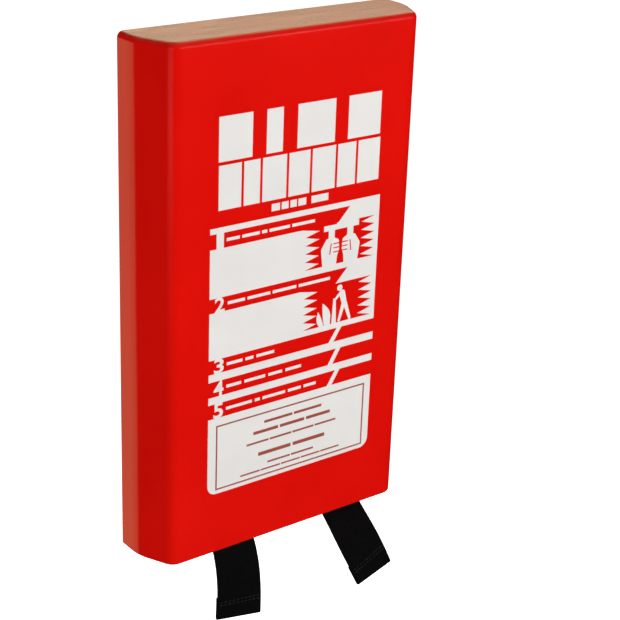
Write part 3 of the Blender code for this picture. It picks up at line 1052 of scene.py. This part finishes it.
def stitch_tree(finish):
    """Nodes that lay stitches end to end along the edges of a mesh."""
    tree = bpy.data.node_groups.new("Row of stitches", "GeometryNodeTree")
    for name, kind, way in (
        ("Path", "NodeSocketGeometry", "INPUT"),
        ("Stitch Length", "NodeSocketFloat", "INPUT"),
        ("Thread Diameter", "NodeSocketFloat", "INPUT"),
        ("Stitches", "NodeSocketGeometry", "OUTPUT"),
    ):
        tree.interface.new_socket(name, in_out=way, socket_type=kind)
    given = add_node(tree, "NodeGroupInput")
    line = add_node(tree, "GeometryNodeMeshToCurve", inputs={"Mesh": given.outputs["Path"]})
    spaced = add_node(
        tree,
        "GeometryNodeResampleCurve",
        {"mode": "LENGTH"},
        {"Curve": line, "Length": given.outputs["Stitch Length"]},
    )
    points = add_node(tree, "GeometryNodeCurveToPoints", {"mode": "EVALUATED"}, {"Curve": spaced})
    turned = add_node(
        tree,
        "FunctionNodeAlignRotationToVector",
        {"axis": "Z"},
        {"Vector": points.outputs["Tangent"]},
    )
    bead = add_node(tree, "GeometryNodeMeshUVSphere", inputs={"Segments": 8, "Rings": 6, "Radius": 0.5})
    # A stitch shows on top for most of its length, and dips into the cloth for the rest
    shown = add_node(
        tree, "ShaderNodeMath", {"operation": "MULTIPLY"}, {0: given.outputs["Stitch Length"], 1: 0.84}
    )
    width = given.outputs["Thread Diameter"]
    scale = add_node(tree, "ShaderNodeCombineXYZ", inputs={"X": width, "Y": width, "Z": shown})
    laid = add_node(
        tree,
        "GeometryNodeInstanceOnPoints",
        inputs={"Points": points, "Instance": bead, "Rotation": turned, "Scale": scale},
    )
    real = add_node(tree, "GeometryNodeRealizeInstances", inputs={"Geometry": laid})
    done = add_node(tree, "GeometryNodeSetMaterial", inputs={"Geometry": real, "Material": finish})
    add_node(tree, "NodeGroupOutput", inputs={"Stitches": done})
    return tree


def sew(name, rows, length, diameter, finish):
    """Sews rows of stitches, each a list of points, into one object."""
    work = bmesh.new()
    for row in rows:
        knots = [work.verts.new(point) for point in row]
        for first, second in zip(knots, knots[1:]):
            work.edges.new((first, second))
    seam = add_object(name, work)
    tree = stitch_tree(finish)
    step = seam.modifiers.new("Stitches", "NODES")
    step.node_group = tree
    given = {item.name: item.identifier for item in tree.interface.items_tree}
    step[given["Stitch Length"]] = length
    step[given["Thread Diameter"]] = diameter
    settle(seam)
    seam.data.shade_smooth()
    return seam


BOX_SEAM_INSET = 0.8 * MM
HEM_ROWS = (9.0 * MM, 11.2 * MM)  # up from the end of a tape
HEM_ROW_INSET = 2.5 * MM  # from the webbing's edges
# How far a thread's middle stands off the face it lies on, for each unit of its diameter
BOX_SEAM_PROUD = 0.25
HEM_ROW_PROUD = 0.2


def make_seams(tapes, side, finish):
    """The square seam with a cross on the cloth, and the two rows across the hem of the free end."""
    low, high = BOX_SEAMS[side]
    run_low, run_high = RUNS[side]
    front = run_low.y - tapes.thread * BOX_SEAM_PROUD
    lower, upper = low.z + BOX_SEAM_INSET, high.z - BOX_SEAM_INSET
    start, end = low.x + BOX_SEAM_INSET, high.x - BOX_SEAM_INSET
    corners = [(start, lower), (end, lower), (end, upper), (start, upper)]
    lines = list(zip(corners, corners[1:] + corners[:1]))
    lines += [((start, lower), (end, upper)), ((start, upper), (end, lower))]
    rows = [[(x1, front, z1), (x2, front, z2)] for (x1, z1), (x2, z2) in lines]
    seam = sew("box_seam_" + side, rows, tapes.stitch, tapes.thread, finish)
    finish_piece(seam, "blanket", ["blanket_seam_" + side])
    frames = tape_frames(tapes, side)
    length = getattr(tapes, side + "_length")
    half = (run_high.x - run_low.x) / 2 - HEM_ROW_INSET
    proud = tapes.thread * HEM_ROW_PROUD
    # The hem's second layer of webbing lies behind the first
    faces = (-(tapes.thickness / 2 + proud), tapes.thickness * (0.5 + 2 * HEM_TURN) + proud)
    rows = []
    for up in HEM_ROWS:
        point, _, across, normal = frames[round((1 - up / length) * STATIONS)]
        for out in faces:
            rows.append([point + normal * out - across * half, point + normal * out + across * half])
    hem = sew("hem_stitches_" + side, rows, tapes.stitch, tapes.thread, finish)
    finish_piece(hem, side + "_tape", ["hem_seam_" + side])


CLOTH_HEM_SUNK = 0.14 * MM  # into the front of the pack
CLOTH_HEM_INSET = 4 * MM  # from the sides of the pack
TAPE_GAP = 1.5 * MM
SHORTEST_ROW = 5 * MM
LONG_STITCH = 1.3  # a cloth's stitch for each unit of a tape's


def make_cloth_hem(cloth, tapes, finish):
    """The row of stitches along the leading edge of the cloth, between and beside the tapes."""
    front = PACK_LOW.y + CLOTH_HEM_SUNK
    height = PACK_LOW.z + cloth.hem
    ends = [PACK_LOW.x + CLOTH_HEM_INSET]
    for side in SIDES:
        low, high = RUNS[side]
        ends += [low.x - TAPE_GAP, high.x + TAPE_GAP]
    ends.append(PACK_HIGH.x - CLOTH_HEM_INSET)
    rows = [
        [(first, front, height), (second, front, height)]
        for first, second in zip(ends[::2], ends[1::2])
        if second - first > SHORTEST_ROW
    ]
    hem = sew("cloth_hem_stitches", rows, tapes.stitch * LONG_STITCH, tapes.thread, finish)
    return finish_piece(hem, "blanket")


def ink(name, outline, level, finish):
    """A printed shape, given in millimetres across and up, that stands level on the front wall."""
    points = [((x + PRINT_SHIFT) * MM, z * MM) for x, z in outline]
    return prism(name, points, FRONT_Y - level, FRONT_Y + INK_SUNK, "Y", finish)


def bar(left, right, low, high):
    """The outline of an upright block."""
    return [(left, low), (right, low), (right, high), (left, high)]


def limb(start, end, start_width, end_width):
    """A tapered stroke with round ends, between two points in millimetres."""
    first, second = Vector(start), Vector(end)
    heading = math.degrees(math.atan2(second.y - first.y, second.x - first.x))
    outline = arc(second, end_width / 2, heading - 90, heading + 90, 8)
    return outline + arc(first, start_width / 2, heading + 90, heading + 270, 8)


def leaf(foot, tip, width, curl):
    """A flame's tongue that swells from its foot and curls towards its tip."""
    base, point = Vector(foot), Vector(tip)
    run = point - base
    side = Vector((-run.y, run.x)).normalized()
    steps = 10
    left, right = [], []
    for i in range(steps + 1):
        share = i / steps
        middle = base + run * share + side * curl * math.sin(math.pi * share)
        half = width / 2 * math.sin(math.pi * (0.18 + 0.82 * share)) ** 0.9
        if i < steps:
            left.append(tuple(middle + side * half))
            right.append(tuple(middle - side * half))
    return right + [tuple(point)] + left[::-1]


def toothed(high, low):
    """The red field of a pictogram: its two sides are cut into teeth that point inwards."""
    step = (high - low) / FIELD_TEETH
    left_side = [(FIELD_LEFT - FIELD_LEAD, high)]
    right_side = [(FIELD_RIGHT, high)]
    for i in range(FIELD_TEETH):
        middle = high - step * (i + 0.5)
        left_side += [(FIELD_LEFT + TOOTH_DEPTH, middle), (FIELD_LEFT, high - step * (i + 1))]
        right_side += [(FIELD_RIGHT - TOOTH_DEPTH, middle), (FIELD_RIGHT, high - step * (i + 1))]
    return left_side + right_side[::-1]


INK_SUNK = 0.00010  # how far ink reaches into the wall behind it
CUT_DEPTH = 4  # a cutting tool's thickness for each unit of the ink's
INK_LIFT = 0.02  # overlapping inks stand this share of their thickness apart, so no two are level
# The print is laid out in millimetres from the middle of the case, and then shifted sideways
PRINT_SHIFT = -1.5
PRINT_LEFT, PRINT_RIGHT = -55.5, 60.25
PRINT_TOP, PRINT_BOTTOM = 48.25, -111.5
PRINT_CORNER = 6.0
# Each strip: its top, its foot, and the bars that stand for its words
STRIPS = (
    (45.0, 36.4, ((-44.9, -36.4), (-34.8, -23.3), (-21.8, -18.3), (-16.8, -3.0), (-1.4, 14.2))),
    (8.25, -0.2, ((-43.6, -32.2), (-30.5, -15.1), (-13.5, 2.75), (4.4, 26.5))),
    (-28.0, -36.4, ((-43.6, -33.0), (-31.0, -25.6), (-23.6, -11.4))),
    (-41.1, -50.4, ((-43.6, -33.6), (-31.4, -17.2), (-15.0, -5.4), (-3.0, 8.0))),
    (-54.8, -63.8, ((-43.6, -26.0), (-24.0, -20.6), (-18.6, -2.8), (-0.8, 8.4), (10.4, 19.2))),
)
STRIP_OVERHANG = 1.0  # past the sides of the print
PICTURE_STRIPS = 2  # the first strips, each with a picture under it
PICTURE_DROP = 24.4  # from the foot of its strip to the foot of its red field
FIELD_LEFT, FIELD_RIGHT = 8.0, 57.4
FIELD_TEETH = 5
TOOTH_DEPTH = 9.8
FIELD_LEAD = 2.5  # how far the field's upper left corner runs out past its teeth
FIELD_OVERLAP = 0.02  # with its strip
DIGIT_ONE = (-51.4, -46.7)
DIGIT = (-52.0, -45.6)
DIGIT_OVERLAP = 0.15  # with the white above and below
DIGIT_WEIGHT = 0.022  # how much a numeral's outline is thickened
WEDGE_TOP, WEDGE_FOOT = 38.9, 30.8  # where a strip's slanting end meets its top and foot
SLASH_WIDTH = 3.4
SLASH_LEAN = 0.7  # how far a slash leans over for each unit of a slanting end's lean
LONG_HEADING = (
    (-50.5, -36.0),
    (-34.4, -23.9),
    (-22.3, -6.4),
    (-4.8, 9.4),
    (11.0, 26.9),
    (28.5, 41.2),
    (42.8, 58.3),
)
# Each heading: its foot, its top, and the left and right of each block in place of a letter
HEADINGS = (
    (51.3, 55.5, ((-15.8, -10.2), (-9.0, -4.4), (-3.2, 1.2), (2.2, 7.6), (11.2, 22.9))),
    (84.3, 108.8, ((-50.7, -29.3), (-20.2, -9.5), (0.2, 25.8), (34.9, 57.8))),
    (57.7, 82.4, LONG_HEADING),
)
WORD_HEIGHT = 1.8
HANDS_MIDDLE = 33.1  # halfway between the two hands
CASE_BAR = [(20.9, 32.6), (45.8, 32.6), (45.8, 36.6), (30.0, 36.6), (30.0, 35.8), (20.9, 35.8)]
# Rows of the box's small print: centre height, cap height, left and right, and how many words
SMALL_PRINT = (
    (-74.8, 1.6, -17.0, 24.0, 2),
    (-80.4, 1.9, -24.5, 30.5, 3),
    (-86.7, 1.2, -29.0, 35.0, 4),
    (-94.6, 2.2, -20.7, 27.0, 2),
    (-101.2, 1.2, -14.0, 19.0, 2),
    (-105.2, 1.0, -33.0, 38.4, 5),
)
WORD_SPACE = 0.7  # for each unit of cap height
BORDER = (-50.1, 55.75, -109.2, -68.6)  # left, right, foot and top
BORDER_LINE = 0.95
SECOND_INK = 1.6  # where the second ink's face stands, for each unit of the white ink's thickness


def fist_and_tape(mirror):
    """A pictogram's hand that grips a tape.

    It gives the outlines of the tape and the hand, and those of the gaps that part its fingers.
    """

    def turned(outline):
        if not mirror:
            return outline
        return [(2 * HANDS_MIDDLE - x, z) for x, z in outline][::-1]

    hand = [
        ((20.6, 11.6), 0.0),
        ((30.4, 11.6), 0.0),
        ((30.9, 17.0), 1.5),
        ((32.2, 20.5), 1.0),
        ((31.8, 26.4), 1.6),
        ((28.4, 28.2), 1.2),
        ((23.0, 28.0), 1.6),
        ((19.2, 22.2), 2.5),
    ]
    solid = [turned(bar(24.3, 28.6, 27.0, 33.0)), turned(rounded(hand, 5))]
    gaps = [turned(limb((28.2, z), (33.0, z), 0.7, 0.7)) for z in (19.4, 21.9, 24.4)]
    gaps.append(turned(limb((25.6, 18.6), (26.4, 24.6), 0.8, 0.8)))
    return solid, gaps


def figure_and_fire():
    """A pictogram's figure that lowers a sheet in front of itself over a fire."""
    return [
        arc((34.0, -3.4), 1.9, 0, 345, 23),
        limb((35.9, -7.0), (37.6, -13.2), 4.2, 3.6),
        limb((35.2, -6.2), (30.6, -10.4), 1.9, 1.5),
        limb((37.2, -13.4), (34.2, -23.6), 2.8, 1.8),
        limb((38.2, -13.4), (42.0, -23.6), 2.8, 1.8),
        [(29.6, -9.2), (31.4, -9.4), (32.2, -24.9), (28.8, -24.9)],
        leaf((25.4, -25.2), (22.0, -10.6), 5.4, -1.2),
        leaf((22.0, -25.2), (18.9, -15.2), 3.6, 0.8),
        leaf((27.0, -25.2), (26.6, -16.0), 2.6, 0.6),
    ]


def digit(text, left, right, low, high, level, finish):
    """A numeral stretched to fit a box that is given in millimetres."""
    letter = bpy.data.curves.new("Numeral", "FONT")
    letter.body = text
    letter.offset = DIGIT_WEIGHT
    letter.resolution_u = 6
    letter.extrude = 0.5
    shape = bpy.data.objects.new("numeral", letter)
    bpy.context.scene.collection.objects.link(shape)
    bpy.context.view_layer.update()
    depsgraph = bpy.context.evaluated_depsgraph_get()
    mesh = bpy.data.meshes.new_from_object(shape.evaluated_get(depsgraph))
    bpy.data.objects.remove(shape, do_unlink=True)
    work = bmesh.new()
    work.from_mesh(mesh)
    bmesh.ops.remove_doubles(work, verts=work.verts, dist=1e-5)
    xs = [vertex.co.x for vertex in work.verts]
    ys = [vertex.co.y for vertex in work.verts]
    wide = (right - left) / (max(xs) - min(xs))
    tall = (high - low) / (max(ys) - min(ys))
    for vertex in work.verts:
        across = left + PRINT_SHIFT + (vertex.co.x - min(xs)) * wide
        depth = FRONT_Y - level if vertex.co.z > 0 else FRONT_Y + INK_SUNK
        up = low + (vertex.co.y - min(ys)) * tall
        vertex.co = (across * MM, depth, up * MM)
    bmesh.ops.recalc_face_normals(work, faces=work.faces)
    return add_object("numeral", work, finish)


def pressed(panel, shapes):
    """Puts islands of ink, each a closed solid of its own, into the panel's mesh."""
    work = bmesh.new()
    work.from_mesh(panel.data)
    for shape in shapes:
        work.from_mesh(shape.data)
        bpy.data.objects.remove(shape, do_unlink=True)
    work.to_mesh(panel.data)
    work.free()
    return panel


def strip_outlines(number, top, foot):
    """The bare red strips behind a line of words: one with a slanting end, or two with a slash between."""
    left, right = PRINT_LEFT - STRIP_OVERHANG, PRINT_RIGHT + STRIP_OVERHANG
    if number < PICTURE_STRIPS:
        return [[(left, foot), (WEDGE_FOOT, foot), (WEDGE_TOP, top), (left, top)]]
    end = WEDGE_FOOT - SLASH_WIDTH
    lean_over = (WEDGE_TOP - WEDGE_FOOT) * SLASH_LEAN
    return [
        [(left, foot), (end, foot), (end + lean_over, top), (left, top)],
        [(WEDGE_FOOT, foot), (right, foot), (right, top), (WEDGE_FOOT + lean_over, top)],
    ]


def raised_pictures(level, white):
    """The white parts of the two pictures: the case with a hand at each tape, and the figure at the fire."""
    islands = [ink("case_bar", CASE_BAR, level * (1 + INK_LIFT), white)]
    for mirror in (False, True):
        (tape, palm), gaps = fist_and_tape(mirror)
        hand = ink("hand", palm, level * (1 + 3 * INK_LIFT), white)
        for outline in gaps:
            combine(hand, ink("gap", outline, level * CUT_DEPTH, white), "DIFFERENCE")
        islands += [hand, ink("pictured_tape", tape, level * (1 + 2 * INK_LIFT), white)]
    for i, outline in enumerate(figure_and_fire()):
        islands.append(ink("figure", outline, level * (1 + (i + 1) * INK_LIFT), white))
    return islands


def make_headings(level, white):
    """Rows of blocks in place of the headings' letters."""
    for number, (low, high, blocks) in enumerate(HEADINGS):
        name = "heading_print_" + str(number + 1)
        first, *others = [ink(name, bar(*block, low, high), level, white) for block in blocks]
        finish_piece(pressed(first, others), "case")


def make_print(settings):
    """The white print on the front: headings, numbered strips with two pictures, and the box below."""
    white = screen_print_ink("Screen-print ink, white", settings.white)
    level = settings.thickness
    deep = level * CUT_DEPTH
    corners = [
        ((PRINT_LEFT, PRINT_BOTTOM), PRINT_CORNER),
        ((PRINT_RIGHT, PRINT_BOTTOM), PRINT_CORNER),
        ((PRINT_RIGHT, PRINT_TOP), 0.0),
        ((PRINT_LEFT, PRINT_TOP), 0.0),
    ]
    panel = ink("instruction_print", rounded(corners, 8), level, white)
    islands = []
    for i, (top, foot, words) in enumerate(STRIPS):
        for outline in strip_outlines(i, top, foot):
            combine(panel, ink("strip", outline, deep, white), "DIFFERENCE")
        if i < PICTURE_STRIPS:
            field = toothed(foot + FIELD_OVERLAP, foot - PICTURE_DROP)
            combine(panel, ink("field", field, deep, white), "DIFFERENCE")
        left, right = DIGIT_ONE if i == 0 else DIGIT
        low, high = foot - DIGIT_OVERLAP, top + DIGIT_OVERLAP
        islands.append(digit(str(i + 1), left, right, low, high, level * (1 + 2 * INK_LIFT), white))
        centre = (top + foot) / 2
        for left, right in words:
            word = bar(left, right, centre - WORD_HEIGHT / 2, centre + WORD_HEIGHT / 2)
            islands.append(ink("word", word, level, white))
    islands += raised_pictures(level, white)
    finish_piece(pressed(panel, islands), "case")
    make_headings(level, white)


def make_small_print(settings):
    """The second ink on the white box: its border and the bars that stand for its rows of words."""
    brown = screen_print_ink("Screen-print ink, red brown", settings.brown)
    level = settings.thickness * SECOND_INK
    left, right, low, high = BORDER
    border = ink("box_print", bar(left, right, low, high), level, brown)
    inside = bar(left + BORDER_LINE, right - BORDER_LINE, low + BORDER_LINE, high - BORDER_LINE)
    combine(border, ink("inside", inside, level * CUT_DEPTH, brown), "DIFFERENCE")
    rows = []
    for centre, height, start, end, words in SMALL_PRINT:
        space = height * WORD_SPACE
        width = (end - start - space * (words - 1)) / words
        for i in range(words):
            first = start + i * (width + space)
            word = bar(first, first + width, centre - height / 2, centre + height / 2)
            rows.append(ink("word", word, level, brown))
    finish_piece(pressed(border, rows), "case")


def softbox(name, place, aim, width, height, radiance, colour=(1.0, 1.0, 1.0), glossy=True):
    """A soft studio light that glows with the given radiance over its whole face."""
    lamp = bpy.data.lights.new(name, "AREA")
    lamp.shape = "RECTANGLE"
    lamp.size = width
    lamp.size_y = height
    lamp.energy = radiance * math.pi * width * height
    lamp.color = colour
    made = bpy.data.objects.new(name, lamp)
    made.location = place
    made.rotation_mode = "QUATERNION"
    made.rotation_quaternion = (Vector(aim) - Vector(place)).to_track_quat("-Z", "Y")
    made.visible_camera = False
    made.visible_glossy = glossy
    bpy.context.scene.collection.objects.link(made)
    return made


def around(azimuth, elevation, distance):
    """A place round the case; azimuth 0 is straight in front and 90 is to its right."""
    a, e = math.radians(azimuth), math.radians(elevation)
    return Vector((math.sin(a) * math.cos(e), -math.cos(a) * math.cos(e), math.sin(e))) * distance


LIGHTS_AIM = (0.0, -0.02, 0.0)
# Soft lights round the case: azimuth, elevation, distance, width, height and radiance
LIGHTS = (
    ("key", 34, 13, 1.7, 0.9, 0.9, 8.9),
    ("fill", -58, 4, 1.6, 1.0, 1.2, 4.3),
    ("right_fill", 100, 6, 1.7, 0.8, 1.0, 3.0),
    ("back_left", -165, 4, 1.8, 0.9, 1.0, 3.0),
    ("back_right", 150, 4, 1.8, 0.9, 1.0, 3.2),
    ("under", 0, -75, 0.85, 1.2, 1.2, 0.3),
)
# Warm boards behind: one above that the top mirrors, one below that the left side mirrors.
# Each has its place, what it faces, its width, height and radiance, and its colour
BOARDS = (
    ("top_glow", (0.66, 0.83, 0.93), (0.0, 0.0, TOP_Z), 1.2, 1.3, 1.55, (1.0, 0.85, 0.56)),
    ("side_glow", (-0.70, 0.78, -0.38), (-HALF_WIDTH, -0.01, 0.0), 0.6, 0.9, 0.66, (1.0, 0.88, 0.48)),
)
FLOOR_REACH = 12.0


def make_stage(stage):
    """A pale floor, an even white room, soft lights and the camera.

    The floor and the room neither show in the case nor light it, so the lights alone shape it.
    """
    floor_z = MOUTH_Z - stage.floor_drop
    work = bmesh.new()
    bmesh.ops.create_grid(work, x_segments=8, y_segments=8, size=FLOOR_REACH)
    bmesh.ops.translate(work, verts=work.verts, vec=(0.0, 0.0, floor_z))
    floor = add_object("studio_floor", work, studio_floor(stage.floor))
    floor.visible_glossy = False
    floor.visible_diffuse = False
    room = bpy.data.worlds.new("White room")
    room.use_nodes = True
    room.node_tree.nodes.clear()
    light = add_node(
        room.node_tree, "ShaderNodeBackground", inputs={"Color": (1.0, 1.0, 1.0, 1.0), "Strength": 1.0}
    )
    add_node(room.node_tree, "ShaderNodeOutputWorld", inputs={"Surface": light.outputs["Background"]})
    bpy.context.scene.world = room
    room.cycles_visibility.glossy = False
    room.cycles_visibility.diffuse = False
    for name, azimuth, elevation, distance, width, height, radiance in LIGHTS:
        place = around(azimuth, elevation, distance)
        softbox(name, place, LIGHTS_AIM, width, height, radiance, glossy=False)
    for board in BOARDS:
        softbox(*board)
    lens = bpy.data.cameras.new("Camera")
    lens.lens = stage.lens
    lens.sensor_width = 36.0
    lens.clip_start = 0.01
    camera = bpy.data.objects.new("Camera", lens)
    camera.location = stage.camera
    camera.rotation_mode = "QUATERNION"
    facing = (Vector(stage.target) - Vector(stage.camera)).to_track_quat("-Z", "Y")
    camera.rotation_quaternion = facing @ Quaternion((0.0, 0.0, 1.0), stage.roll)
    bpy.context.scene.collection.objects.link(camera)
    bpy.context.scene.camera = camera
    bpy.context.scene.view_settings.view_transform = "Standard"


class OBJECT_OT_fire_blanket_stage(bpy.types.Operator):
    """Make the floor, the lights and the camera"""

    bl_idname = "object.fire_blanket_stage"
    bl_label = "Stage"

    def execute(self, context):
        make_stage(context.scene.fire_blanket_stage)
        return {"FINISHED"}


class OBJECT_OT_fire_blanket_cover(bpy.types.Operator):
    """Make the glossy moulded cover"""

    bl_idname = "object.fire_blanket_cover"
    bl_label = "Cover"

    def execute(self, context):
        make_cover(context.scene.fire_blanket_case)
        return {"FINISHED"}


class OBJECT_OT_fire_blanket_plate(bpy.types.Operator):
    """Make the wall plate with its keyholes, ribs and hooks"""

    bl_idname = "object.fire_blanket_plate"
    bl_label = "Wall plate"

    def execute(self, context):
        make_plate(context.scene.fire_blanket_case)
        return {"FINISHED"}


class OBJECT_OT_fire_blanket_print(bpy.types.Operator):
    """Make the screen print on the front"""

    bl_idname = "object.fire_blanket_print"
    bl_label = "Print"

    def execute(self, context):
        make_print(context.scene.fire_blanket_print)
        make_small_print(context.scene.fire_blanket_print)
        return {"FINISHED"}


class OBJECT_OT_fire_blanket_cloth(bpy.types.Operator):
    """Make the folded glass cloth"""

    bl_idname = "object.fire_blanket_cloth"
    bl_label = "Cloth"

    def execute(self, context):
        make_cloth(context.scene.fire_blanket_cloth)
        return {"FINISHED"}


class OBJECT_OT_fire_blanket_tapes(bpy.types.Operator):
    """Make the two pull tapes and every seam"""

    bl_idname = "object.fire_blanket_tapes"
    bl_label = "Pull tapes"

    def execute(self, context):
        tapes = context.scene.fire_blanket_tapes
        webbing = black_webbing(tapes)
        black_thread = sewing_thread("Polyester thread, black", tapes.stitches)
        for side in SIDES:
            make_tape(tapes, side, webbing)
            make_seams(tapes, side, black_thread)
        cloth = context.scene.fire_blanket_cloth
        white_thread = sewing_thread("Glass thread, white", cloth.light)
        make_cloth_hem(cloth, tapes, white_thread)
        return {"FINISHED"}


class VIEW3D_PT_fire_blanket(bpy.types.Panel):
    """Lists the pieces of the fire blanket"""

    bl_idname = "VIEW3D_PT_fire_blanket"
    bl_label = "Fire Blanket"
    bl_space_type = "VIEW_3D"
    bl_region_type = "UI"
    bl_category = "Fire Blanket"

    def draw(self, context):
        for operator in OPERATORS:
            self.layout.operator(operator.bl_idname)
        for name in SETTINGS:
            group = getattr(context.scene, name)
            for prop in group.bl_rna.properties:
                if prop.identifier not in ("name", "rna_type"):
                    self.layout.prop(group, prop.identifier)


SETTINGS = {
    "fire_blanket_case": FireBlanketCase,
    "fire_blanket_print": FireBlanketPrint,
    "fire_blanket_cloth": FireBlanketCloth,
    "fire_blanket_tapes": FireBlanketTapes,
    "fire_blanket_stage": FireBlanketStage,
}
OPERATORS = (
    OBJECT_OT_fire_blanket_stage,
    OBJECT_OT_fire_blanket_cover,
    OBJECT_OT_fire_blanket_plate,
    OBJECT_OT_fire_blanket_print,
    OBJECT_OT_fire_blanket_cloth,
    OBJECT_OT_fire_blanket_tapes,
)


def register():
    for name, group in SETTINGS.items():
        bpy.utils.register_class(group)
        setattr(bpy.types.Scene, name, bpy.props.PointerProperty(type=group))
    for operator in OPERATORS:
        bpy.utils.register_class(operator)
    bpy.utils.register_class(VIEW3D_PT_fire_blanket)


def unregister():
    bpy.utils.unregister_class(VIEW3D_PT_fire_blanket)
    for operator in reversed(OPERATORS):
        bpy.utils.unregister_class(operator)
    for name, group in SETTINGS.items():
        delattr(bpy.types.Scene, name)
        bpy.utils.unregister_class(group)


def main():
    register()
    bpy.ops.object.fire_blanket_stage()
    bpy.ops.object.fire_blanket_cover()
    bpy.ops.object.fire_blanket_plate()
    bpy.ops.object.fire_blanket_print()
    bpy.ops.object.fire_blanket_cloth()
    bpy.ops.object.fire_blanket_tapes()


if __name__ == "__main__":
    main()
